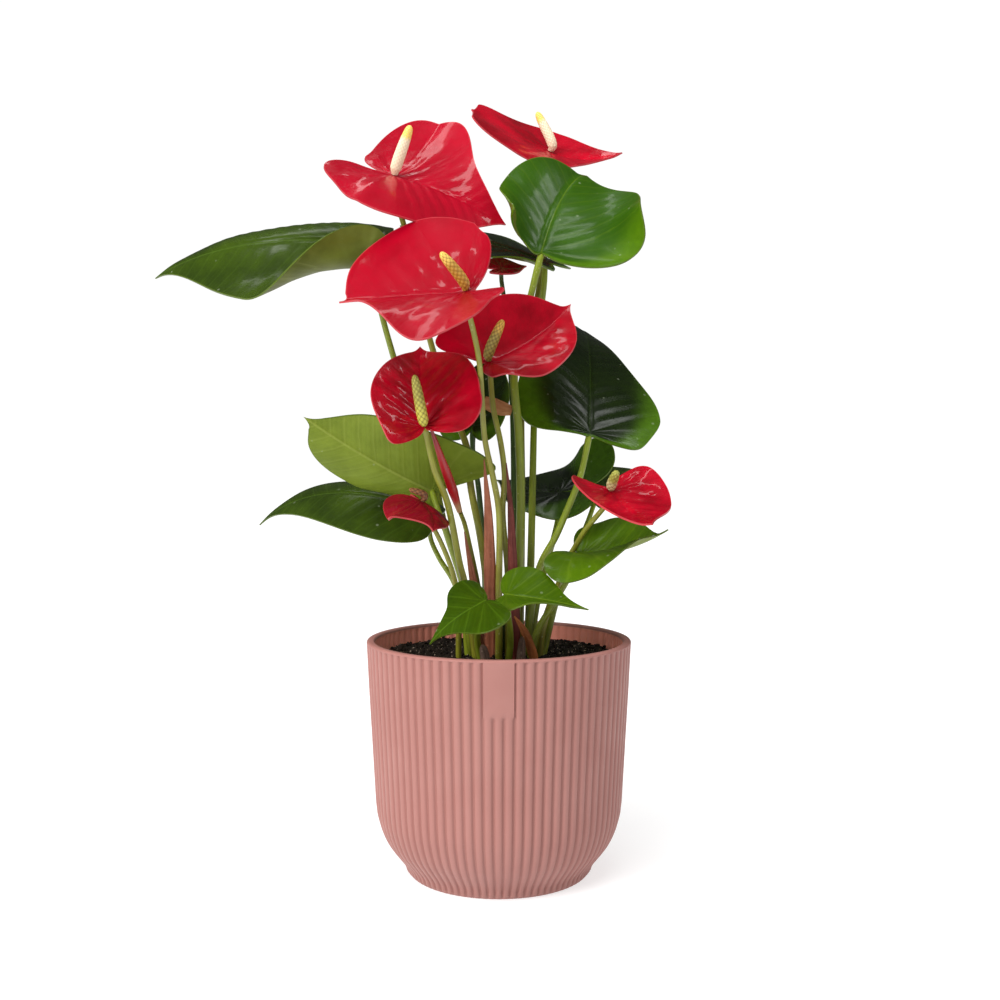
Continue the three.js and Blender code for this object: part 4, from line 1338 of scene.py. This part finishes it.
FLOWERS: dict[str, Flower] = {
    "1": Flower(
        Blade(at=(-55.3, 7, 367.7), length=65, half=(58, 53), lobe=27, spread=0.41, wide=0.15,
              point=0.22, heading=-14, rise=-17, roll=19, bend=22, lobe_bend=-10, sweep=22, twist=38,
              fold=(11, 7), curl=(21, -11), lobe_curl=(2, -27), bulge_left=(1, -5, 9, 0, -6),
              bulge_right=(2, 3, -4, -5, 0)),
        Stalk(path=((-1, -1, 106), (-9, 0, 172), (-15, 1, 204), (-17, 2, 224), (-23, 3, 240),
               (-36, 6, 279), (-50, 11, 340)), half=(2.2, 1.9, 1.6, 1.4)),
        cone_tip=(-46, -3, 391.6), cone_radius=3.1, skin=SpatheSkin.BRIGHT, cone=ConeSkin.CREAM,
        wrinkle=0.2, vein_gap=7.5),
    "2": Flower(
        Blade(at=(-15.8, -63, 297.5), length=62, half=(46, 47), lobe=16, spread=0.53, wide=0.15,
              point=0.22, heading=169, rise=-1, roll=-26, bend=3, lobe_bend=-21, sweep=6, twist=16,
              fold=(5, 44), curl=(-31, -11), lobe_curl=(16, -14), bulge_left=(13, 0, 0, 5, 0),
              bulge_right=(-8, 0, -3, 1, 18)),
        Stalk(path=((0, -10, 106), (0, -13, 148), (0, -18, 191), (-3, -25, 209), (-7, -31, 228),
               (-9.7, -49, 267)), half=(2, 1.7, 1.4, 1.3)),
        cone_tip=(-26.9, -75, 314), cone_radius=2.7, skin=SpatheSkin.EVEN, cone=ConeSkin.GOLD,
        wrinkle=0.14, vein_gap=10.0),
    "3": Flower(
        Blade(at=(-5, -17, 268), length=61, half=(33, 33), lobe=9, spread=0.51, wide=0.15, point=0.2,
              heading=25, rise=21, roll=28, bend=-15, lobe_bend=23, sweep=21, twist=20, fold=(39, 20),
              curl=(3, -14), lobe_curl=(-1, -8), bulge_left=(-3, 8, 0, -2, 5),
              bulge_right=(0, -2, -7, 2, 3)),
        Stalk(path=((5, -8, 106), (4.5, -9, 159), (2, -11, 191), (3, -13, 209), (1, -14, 226),
               (-3, -14, 245)), half=(1.9, 1.6, 1.5, 1.4)),
        cone_tip=(2, -29, 288), cone_radius=2.8, cone=ConeSkin.OLIVE, wrinkle=0.13, vein_gap=13.0),
    "4": Flower(
        Blade(at=(-36.6, -44, 234.8), length=55, half=(27, 34), lobe=9, spread=0.56, wide=0.2,
              point=0.2, heading=105, rise=60, roll=-17, bend=23, lobe_bend=12, sweep=-4, twist=7,
              fold=(27, 25), curl=(5, 5), lobe_curl=(4, -3), bulge_left=(0, 2, -1, 0, 2),
              bulge_right=(-4, -1, 1, -2, 3)),
        Stalk(path=((-11, -9, 106), (-18, -15, 155), (-20, -17, 163), (-26, -29, 196), (-32, -37, 213)),
               half=(2, 1.8, 1.7, 1.5)),
        cone_tip=(-40.5, -57, 258.6), cone_radius=2.7, cone=ConeSkin.GREEN, wrinkle=0.3, vein_gap=8.0),
    "5": Flower(
        Blade(at=(30.6, 92, 401.4), length=44, half=(31, 31), lobe=51, spread=0.32, wide=0.12,
              point=0.22, heading=4, rise=-20, roll=32, bend=-40, lobe_bend=-14, sweep=4, twist=1,
              notch=53, fold=(5, 11), curl=(1, -5), lobe_curl=(-4, -20)),
        Stalk(path=((11, 8, 106), (11.9, 11, 158), (12.4, 15, 196), (13, 27, 262), (20, 46, 300),
               (26.2, 73, 333), (32.3, 90, 376.3)), half=(2.2, 1.9, 1.7, 1.4)),
        cone_tip=(22.6, 90, 424.6), cone_radius=3, cone=ConeSkin.CREAM, wrinkle=0.16, vein_gap=10.0),
    "6": Flower(
        Blade(at=(57, -26, 202), length=47, half=(27, 23), lobe=9, spread=0.67, wide=0.18, point=0.2,
              heading=-58, rise=-36, roll=21, bend=-39, lobe_bend=7, sweep=-7, twist=8, fold=(-10, 22),
              curl=(-6, 27), lobe_curl=(36, -6), bulge_right=(-1, 2, 1, -2, 1)),
        Stalk(path=((21, -3, 106), (23, -2, 127), (27, 1, 140), (32, 1, 152), (36, 0.3, 164),
               (39.4, -2.4, 170), (45, -11, 181)), half=(2, 1.7, 1.5, 1.3)),
        cone_tip=(59, -36, 212), cone_radius=2.6, cone=ConeSkin.LIME, wrinkle=0.34),
    "7": Flower(
        Blade(at=(1.5, 35, 323.2), length=15, half=(12, 10), lobe=9, spread=0.5, wide=0.18, point=0.22,
              heading=20, rise=8, roll=28, bend=0, fold=(8, 8), curl=(0, 0)),
        Stalk(path=((1, 6, 106), (7, 10, 161), (8, 16, 207), (6.5, 24, 263), (3, 32, 305)),
               half=(1.8, 1.6, 1.4, 1.2)),
        skin=SpatheSkin.BRIGHT, stalk=StalkSkin.SHADED),
    "8": Flower(
        Blade(at=(-39, -27, 196), length=27, half=(14, 22), lobe=15, spread=0.48, wide=0.2, point=0.22,
              heading=-45, rise=-24, roll=-7, bend=23, lobe_bend=11, sweep=-46, twist=-1,
              fold=(-22, -24), curl=(0, 2), lobe_curl=(-2, -29)),
        Stalk(path=((-21, -9, 106), (-22, -19, 152), (-29, -22, 174), (-36, -25, 187)),
               half=(1.6, 1.4, 1.1)),
        cone_tip=(-45, -32, 203), cone_radius=1.8, skin=SpatheSkin.FADED, cone=ConeSkin.BROWN),
}


# ---- bud, sheaths, roots -------------------------------------------------------------------------
@dataclass
class Bud:
    """A furled spathe on its stem."""

    stem: Stalk = Stalk(((-4, 5, 106), (-11, 3, 150), (-15, -1, 170), (-18, -6, 184), (-20, -11, 190)),
                        (1.6, 1.4, 1.2))
    body: Stalk = Stalk(((-20.3, -12, 190.6), (-24, -19, 203), (-27.2, -26, 213), (-34.8, -39, 236)),
                        (1.5, 2.7, 2.4, 1.5, 0.35), 0.85)

    def build(self) -> None:
        """Models the stem and the furled bud with its overlapping edge."""
        finish(self.stem.build("bud_stem_looks"), "stem", "bud_stem", waxed(StalkSkin.STEM))

        def overlap(u: Array, v: Array) -> Array:
            """The edge that wraps round, a step that winds up the bud."""
            turn = (u + 0.35 * v + 0.15) % 1.0
            step = 0.32 * np.exp(-(((turn - 0.5) / 0.05) ** 2))
            return step * smooth(v / 0.1) * smooth((1 - v) / 0.1) - 0.1

        bud = self.body.build("bud_looks", around=40, along=70, relief=overlap)
        finish(bud, "spathe", "bud", BudFinish().material())


@dataclass(frozen=True)
class BudFinish:
    """Skin of the furled bud: green-yellow foot, red body, darker tip."""

    foot: Colour = (0.42, 0.24, 0.11)
    body: Colour = (0.40, 0.006, 0.012)
    tip: Colour = (0.22, 0.004, 0.008)

    def material(self) -> Material:
        """Wires the skin: a fade from foot to tip and long fibres.

        Returns:
            The material.
        """
        n, skin, material = shader("bud_red", Coat_Roughness=0.2, Coat_Weight=0.3)
        at, share = n.place(), n.split(n.uv("span"))[0]
        fibres = n.mask(Effect.FIBRES, Along=n.uv("along"), Scale=8.0)
        colour = n.mix(n.remap(share, 0.05, 0.16), self.foot, self.body)
        colour = n.mix(n.remap(share, 0.6, 1.0), colour, self.tip)
        colour = n.tint(colour, fibres, 0.35, self.tip)
        n.feed(skin, Base_Color=colour)
        cloud = n.mask(Effect.BLOTCH, Vector=at, Scale=120.0, Low=0.3, High=0.7)
        n.feed(skin, Roughness=n.remap(cloud, 0, 1, 0.3, 0.42))
        n.feed(skin, Normal=n.bump(fibres, 0.06))
        return material


def papery(name: str, body: Colour, patch: Colour, fleck: Colour, roughness: float = 0.66,
           fleck_show: float = 0.3) -> PlainFinish:
    """A papery skin with long fibres."""
    return PlainFinish(name, body, patch, fleck, 220.0, 1500.0, 0.05, roughness=roughness, fibres=0.12,
                       fleck_show=fleck_show)


class DrySkin(Enum):
    """Skins of the papery sheaths and of the roots."""

    PINK_BROWN = papery("sheath_pink_brown", (0.42, 0.15, 0.085), (0.27, 0.085, 0.045), (0.55, 0.3, 0.18))
    BROWN = papery("sheath_brown", (0.34, 0.115, 0.060), (0.20, 0.060, 0.030), (0.5, 0.25, 0.14),
                   fleck_show=0.35)
    DARK = papery("sheath_dark", (0.17, 0.032, 0.022), (0.08, 0.014, 0.010), (0.3, 0.1, 0.06), 0.6)
    ORANGE = papery("sheath_orange", (0.50, 0.17, 0.045), (0.28, 0.08, 0.02), (0.6, 0.3, 0.12), 0.62)
    TAN = papery("sheath_tan", (0.50, 0.25, 0.10), (0.30, 0.12, 0.04), (0.6, 0.4, 0.22))
    ROOT = PlainFinish("root_bark", (0.20, 0.13, 0.095), (0.075, 0.045, 0.032), (0.36, 0.28, 0.22),
                       260.0, 900.0, 0.35, roughness=0.85, fleck_share=0.12, fleck_show=0.5, fibres=0.05)


@dataclass
class Dry:
    """A papery sheath or a thick root."""

    body: Stalk
    skin: DrySkin
    ridges: int = 7
    rough: float = 0.12

    def build(self, name: str) -> None:
        """Models the piece with its long ridges.

        Args:
            name: the solid's name.
        """
        def ridge(u: Array, v: Array) -> Array:
            """Long ridges, a little crooked."""
            a = 2 * math.pi * u
            height = np.cos(self.ridges * a + 1.6 * np.sin(7 * v)) + 0.6 * np.sin(3 * a + 11 * v)
            return self.rough * height * smooth((1 - v) / 0.15) - self.rough

        tip = 0.22 if self.skin is DrySkin.ROOT else 0.0
        piece = self.body.build(f"{name}_looks", around=36, along=56, relief=ridge, round_tip=tip)
        slot = "root" if self.skin is DrySkin.ROOT else "sheath"
        finish(piece, slot, name, waxed(self.skin))


DRY: dict[str, Dry] = {
    "sheath_1": Dry(Stalk(
        ((-8, 0, 106), (-11, -1, 138), (-13, -3, 150), (-16, -6, 168), (-18, -9, 180)),
        (2.4, 2.8, 2.6, 1.6, 0.4), 0.32), DrySkin.PINK_BROWN),
    "sheath_2": Dry(Stalk(
        ((-4.5, -6, 106), (-4.5, -11, 150), (-5.5, -19, 190), (-7.5, -24, 218)),
        (3, 3.4, 3.2, 2.2, 0.4), 0.3), DrySkin.BROWN),
    "sheath_3": Dry(Stalk(
        ((9, -12, 106), (7.4, -12.8, 158), (5.8, -15, 195), (3.8, -17, 216)),
        (2.2, 2.9, 2.6, 1.8, 0.4), 0.34), DrySkin.DARK),
    "sheath_4": Dry(Stalk(
        ((20, -16, 108), (16, -17, 122), (12, -18, 131), (8, -18.5, 137)),
        (1.6, 2.6, 2.2, 0.5), 0.36), DrySkin.ORANGE),
    "sheath_5": Dry(Stalk(
        ((6.8, -1.8, 243.2), (2, -1.4, 244.4), (-3, 0.6, 246.2), (-8, 1.6, 248)),
        (2.6, 3.9, 4.1, 3.4), 0.15, (0, 0, 1)), DrySkin.TAN),
    "root_1": Dry(Stalk(
        ((-6, -28.5, 108), (-7, -28.5, 117), (-8.4, -28.5, 124)), (2.4, 2.6, 2)), DrySkin.ROOT),
    "root_2": Dry(Stalk(
        ((11, -20, 108), (11.5, -20, 118), (12, -20, 127)), (2.4, 2.4, 1.6)), DrySkin.ROOT),
}


# ---- pot and soil --------------------------------------------------------------------------------
@dataclass
class Pot:
    """Ribbed plastic pot with a plain lip and a bare flat panel at the front."""

    height: float = 122.8
    rim: float = 70.0
    ribs: int = 84
    groove: float = 0.9
    inner_groove: float = 0.6
    lip_round: float = 1.2
    ring: float = 1.2
    lip: float = 4.4
    panel: float = 95.0
    wall: Profile = ((0, 48.8), (2, 49.6), (4.5, 50.3), (7, 52), (9, 53.6), (11, 55.2), (13, 56.8),
                     (15, 58.3), (18, 60.1), (21, 61.5), (25, 63), (31, 64.6), (38, 65.4), (93.5, 68.5),
                     (95, 68.6), (121.6, 69.9))
    hollow: Profile = ((3.5, 46), (25, 59.8), (104, 64.7), (121.6, 65.6))
    columns: tuple[float, ...] = (0, 0.07, 0.14, 0.21, 0.29, 0.5, 0.71, 0.79, 0.86, 0.93)
    # The pot's skin keeps the default inside colour, painted light on the inner wall.
    skin: PlainFinish = PlainFinish("pot_matt_plastic", (0.345, 0.152, 0.130), (0.322, 0.138, 0.118),
                                    (0.40, 0.21, 0.185), 30.0, 1800.0, 0.035, roughness=0.5,
                                    # groove: painted shade in the grooves.
                                    fleck_show=0.12, patch_show=0.5, groove=(0.225, 0.082, 0.066))

    def profile(self) -> tuple[Array, Array, Array, Array]:
        """Rows of the closed wall, from the foot over the lip to the inner floor.

        Returns:
            Radius, height, and how fully the outer and the inner ribs show in each row.
        """
        outer = np.array(self.wall, float)
        z = np.concatenate([np.linspace(0.0, 38, 20), np.linspace(42, 93.4, 12), [94.6, 95.4],
                            np.linspace(98, 118.5, 7), [120.2, 121.0, 121.5]])
        r = np.interp(z, *outer.T)
        ease = np.interp(z, [0, 1.2], [-0.9, 0.0])
        share = smooth((122.0 - z) / 0.9) * smooth((z + 0.4) / 1.6)
        turn, edge = np.radians([8, 30, 55, 80]), self.lip_round
        z_top, r_out, r_in = self.height, self.rim - 0.1, self.rim - self.lip
        lip_r = [*(r_out - edge + edge * np.cos(turn)), *(r_in + edge - edge * np.cos(turn[::-1]))]
        lip_z = [*(z_top - edge + edge * np.sin(turn)), *(z_top - edge + edge * np.sin(turn[::-1]))]
        inner = np.array(self.hollow, float)
        zi = np.concatenate([[121.3, 120.8, 120.2, 119.0], np.linspace(117, 104, 5),
                             np.linspace(95, 25, 6), [12, 3.5]])
        ri = np.interp(zi, *inner.T)
        rows_r = np.concatenate([[0.0, 30.0], r + ease, lip_r, ri, [20.0, 0.0]])
        rows_z = np.concatenate([[self.ring, self.ring], z, lip_z, zi, [inner[0, 0]] * 2])
        none = np.zeros(8)
        out = np.concatenate([[0, 0], share, none, 0 * zi, [0, 0]])
        inn = np.concatenate([[0, 0], 0 * z, none, smooth((121.4 - zi) / 1.6) * (zi > 60), [0, 0]])
        return rows_r, rows_z, out, inn

    def build(self) -> None:
        """Models the pot as one closed wall and dresses it."""
        rows_r, rows_z, out, inn = self.profile()
        rows, per = len(rows_r) - 1, len(self.columns)

        def groove_depth(u: Array, v: Array) -> tuple[Array, Array, Array]:
            """Where a point of the wall lies.

            Args:
                u: turns round the pot.
                v: shares of the way from the foot over the lip to the floor.

            Returns:
                Angle, row and how deep each point lies in its groove, 0 to 1.
            """
            step = np.round(u * self.ribs * per).astype(int)
            rib, k = step // per, step % per
            share = np.array(self.columns)[k]
            row = np.round(v * rows).astype(int)
            deep = smooth((np.abs(2 * share - 1) - 0.3) / 0.7)
            number = rib % self.ribs
            bare = ((number <= 1) | (number == self.ribs - 1)) & ~((number == self.ribs - 1) & (k == 0))
            soft = np.where(bare, smooth((self.panel + 0.4 - rows_z[row]) / 1.2), 1.0)
            angle = math.radians(-90) + (rib + share - 0.5) * 2 * math.pi / self.ribs
            return angle, row, np.where(inn[row] > 0, deep * inn[row], deep * out[row] * soft)

        def shape(u: Array, v: Array) -> Array:
            """Places the points of the wall.

            Args:
                u: turns round the pot.
                v: shares of the way from the foot over the lip to the floor.

            Returns:
                Places in millimetres.
            """
            a, row, deep = groove_depth(u, v)
            inside = inn[row] > 0
            r = rows_r[row] - np.where(inside, -self.inner_groove, self.groove) * deep
            return stack(r * np.cos(a), r * np.sin(a), rows_z[row])

        piece = warped_grid("pot_looks", self.ribs * per, rows, shape,
                            lambda u, v: {"span": stack(groove_depth(u, v)[2], v)})
        edit(piece, weld, outward)
        finish(piece, "pot", "pot", self.skin.material())


class SoilSkin(Enum):
    """Skins of the soil and its crumbs, and of the pale grit."""

    EARTH = PlainFinish("soil_dark", (0.020, 0.013, 0.009), (0.006, 0.004, 0.003), (0.30, 0.22, 0.15),
                        320.0, 1100.0, 0.9, fleck_scale=1000.0, fleck_share=0.07, fleck_show=0.9,
                        patch_show=0.9, roughness=0.82)
    GRIT = PlainFinish("soil_grit", (0.42, 0.33, 0.25), (0.14, 0.09, 0.06), (0.75, 0.68, 0.58),
                       300.0, 1500.0, 0.3, roughness=0.75)


@dataclass
class Soil:
    """Potting soil: a rough crumbly surface with bark chips and pale grit."""

    level: float = 114.0
    radius: float = 63.6
    rings: int = 90
    around: int = 300
    crumbs: int = 1500
    seed: int = 7
    strewn: float = 0.975
    wall: Profile = ((3.9, 45.8), (25, 59.3), (104, 63.5), (113, 63.6))

    def rough(self, x: Array, y: Array) -> Array:
        """Height of the surface over its level, from waves of several sizes.

        Args:
            x: places to the right in millimetres.
            y: places to the back in millimetres.

        Returns:
            Heights in millimetres.
        """
        h = 0.7 * np.sin(x * 0.16 + 1.0) * np.cos(y * 0.14 - 0.4)
        for k, (size, height) in enumerate(((2.6, 0.5), (1.1, 0.45), (0.55, 0.35))):
            a = 0.7 + 1.9 * k
            p, q = x * math.cos(a) - y * math.sin(a), x * math.sin(a) + y * math.cos(a)
            bent_p = p / size + 1.7 * np.sin(q / size * 0.73)
            bent_q = q / size * 1.13 + 1.3 * np.sin(p / size * 0.61)
            h = h + height * np.sin(bent_p) * np.sin(bent_q)
        return h

    def build(self) -> None:
        """Models the bulk with its rough top, strews the crumbs and dresses both."""
        sides = np.array(self.wall, float)
        rows = len(sides) + self.rings

        def shape(u: Array, v: Array) -> Array:
            """Places the points of the bulk.

            Args:
                u: turns round the soil.
                v: shares of the way from the floor up the wall and over the rough top.

            Returns:
                Places in millimetres.
            """
            a = 2 * math.pi * u
            k = np.round(v * rows).astype(int)
            top = (rows - k) / self.rings * self.radius
            side_z, side_r = sides[np.clip(k - 1, 0, len(sides) - 1)].T
            r = np.where(k == 0, 0, np.where(k <= len(sides), side_r, top))
            x, y = r * np.cos(a), r * np.sin(a)
            z = np.where(k == 0, sides[0, 0], side_z)
            lift = self.level - 0.3 + self.rough(x, y) * smooth((self.radius - r) / 3)
            return stack(x, y, np.where(k > len(sides), lift, z))

        bulk = warped_grid("soil_looks", self.around, rows, shape, lambda u, v: {"span": stack(v, u)})
        edit(bulk, weld, outward)
        earth, grit = (skin.value.material() for skin in SoilSkin)
        dress(bulk, earth)
        random = np.random.RandomState(self.seed)
        for skin, count, low, high in ((earth, self.crumbs, 0.35, 1.3), (grit, self.crumbs // 2, 0.16, 0.5)):
            deselect()
            bpy.ops.mesh.primitive_ico_sphere_add(subdivisions=1, radius=MM)
            seed = bpy.context.active_object
            base = np.array([c.co for c in seed.data.vertices])
            faces = np.array([f.vertices[:] for f in seed.data.polygons])
            r = self.radius * self.strewn * np.sqrt(random.rand(count))
            a = 2 * math.pi * random.rand(count)
            size = low + (high - low) * random.rand(count) ** 2.5
            jitter = 0.65 + 0.7 * random.rand(count, len(base), 1)
            stretch = 0.6 + 0.8 * random.rand(count, 1, 3)
            x, y = r * np.cos(a), r * np.sin(a)
            where = stack(x, y, self.level - 0.2 + self.rough(x, y) + size * 0.35)
            points = base * jitter * stretch * size[:, None, None] + where[:, None] * MM
            index = faces[None] + np.arange(count)[:, None, None] * len(base)
            seed.data.clear_geometry()
            seed.data.from_pydata(points.reshape(-1, 3), [], index.reshape(-1, 3).tolist())
            seed.data.update()
            dress(seed, skin)
            pick(bulk)
            seed.select_set(True)
            bpy.ops.object.join()
        finish(bulk, "soil", "soil")


# ---- studio --------------------------------------------------------------------------------------
@dataclass
class Studio:
    """Pale floor, soft light and the camera."""

    eye: Point = (0.6, -634.0, 221.0)
    tilt: float = 2.2345
    lens: float = 43.15

    def hang(self, light: bpy.types.Light, at: Point, way: Vector, gloss: bool) -> None:
        """Hangs a lamp.

        Args:
            light: its light.
            at: its place in metres.
            way: the direction it shines in.
            gloss: whether glossy skins mirror it.
        """
        lamp = bpy.data.objects.new(light.name, light)
        lamp.location = at
        lamp.visible_glossy = gloss
        lamp.rotation_euler = way.to_track_quat("-Z", "Y").to_euler()
        bpy.context.scene.collection.objects.link(lamp)

    def area(self, name: str, at: Point, aim: Point, size: tuple[float, float], power: float,
             gloss: bool = True) -> None:
        """Adds a soft box.

        Args:
            name: the light's name.
            at: its place in metres.
            aim: the point it looks at.
            size: its width and height in metres.
            power: its power in watts.
            gloss: whether glossy skins mirror it.
        """
        light = bpy.data.lights.new(name, "AREA")
        light.shape, light.size, light.size_y, light.energy = "RECTANGLE", *size, power
        self.hang(light, at, Vector(aim) - Vector(at), gloss)

    def build(self) -> None:
        """Sets floor, world, lights and camera."""
        deselect()
        bpy.ops.mesh.primitive_plane_add(size=12.0, location=(0, 0, -0.0002))
        floor = bpy.context.active_object
        floor.name = "floor"
        n, skin, material = shader("floor_white", Roughness=0.9, Specular_IOR_Level=0.0,
                                   Emission_Strength=0.62)
        cloud = n.mask(Effect.BLOTCH, Vector=n.place(), Scale=3.0, Low=0.3, High=0.7)
        n.feed(skin, Base_Color=n.mix(cloud, (0.50, 0.50, 0.50), (0.51, 0.51, 0.51)))
        floor.data.materials.append(material)
        world = bpy.data.worlds.new("studio")
        world.use_nodes = True
        bpy.context.scene.world = world
        w = Nodes(world.node_tree)
        back = world.node_tree.nodes["Background"]
        back.inputs["Color"].default_value = (1, 1, 1, 1)
        ray = w.add("ShaderNodeLightPath")
        seen = w.math("MULTIPLY", ray.outputs["Is Camera Ray"], 0.55)
        mirrored = w.remap(ray.outputs["Is Glossy Ray"], 0, 1, 0.48, 0.06)
        w.feed(back, Strength=w.math("ADD", seen, mirrored))
        self.area("key", (-1.5, -1.3, 0.9), (0, 0, 0.22), (0.9, 1.1), 24, gloss=False)
        self.area("strip_left", (-0.9, -1.0, 1.3), (0, 0, 0.28), (0.14, 0.8), 5.0)
        self.area("strip_right", (1.15, -0.15, 1.45), (0, 0, 0.28), (0.16, 0.7), 3.6)
        self.area("strip_back", (-0.35, 0.5, 1.5), (0, 0, 0.3), (0.8, 0.12), 1.3)
        self.area("strip_top", (0.0, -0.35, 1.6), (0, 0, 0.3), (0.9, 0.13), 3.6)
        light = bpy.data.lights.new("sky", "SUN")
        light.energy, light.angle = 2.25, math.radians(50)
        self.hang(light, (0, 0, 0), Vector((0.35, 0.4, -0.85)), False)
        eye = bpy.data.cameras.new("camera")
        eye.lens, eye.sensor_width = self.lens, 36.0
        camera = bpy.data.objects.new("camera", eye)
        camera.location = tuple(k * MM for k in self.eye)
        camera.rotation_euler = (math.radians(90 - self.tilt), 0, 0)
        bpy.context.scene.collection.objects.link(camera)
        bpy.context.scene.camera = camera
        bpy.context.scene.view_settings.view_transform = "Standard"


def main() -> None:
    """Builds every piece in order."""
    logging.basicConfig(level=logging.INFO, format="%(message)s")
    LOG.info("solids in the frame: %d", len(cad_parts))
    Studio().build()
    Pot().build()
    Soil().build()
    for name, leaf in LEAVES.items():
        leaf.build(name)
    for number, flower in FLOWERS.items():
        flower.build(number)
    Bud().build()
    for name, dry in DRY.items():
        dry.build(name)
    bpy.context.view_layer.update()


if __name__ == "__main__":
    main()
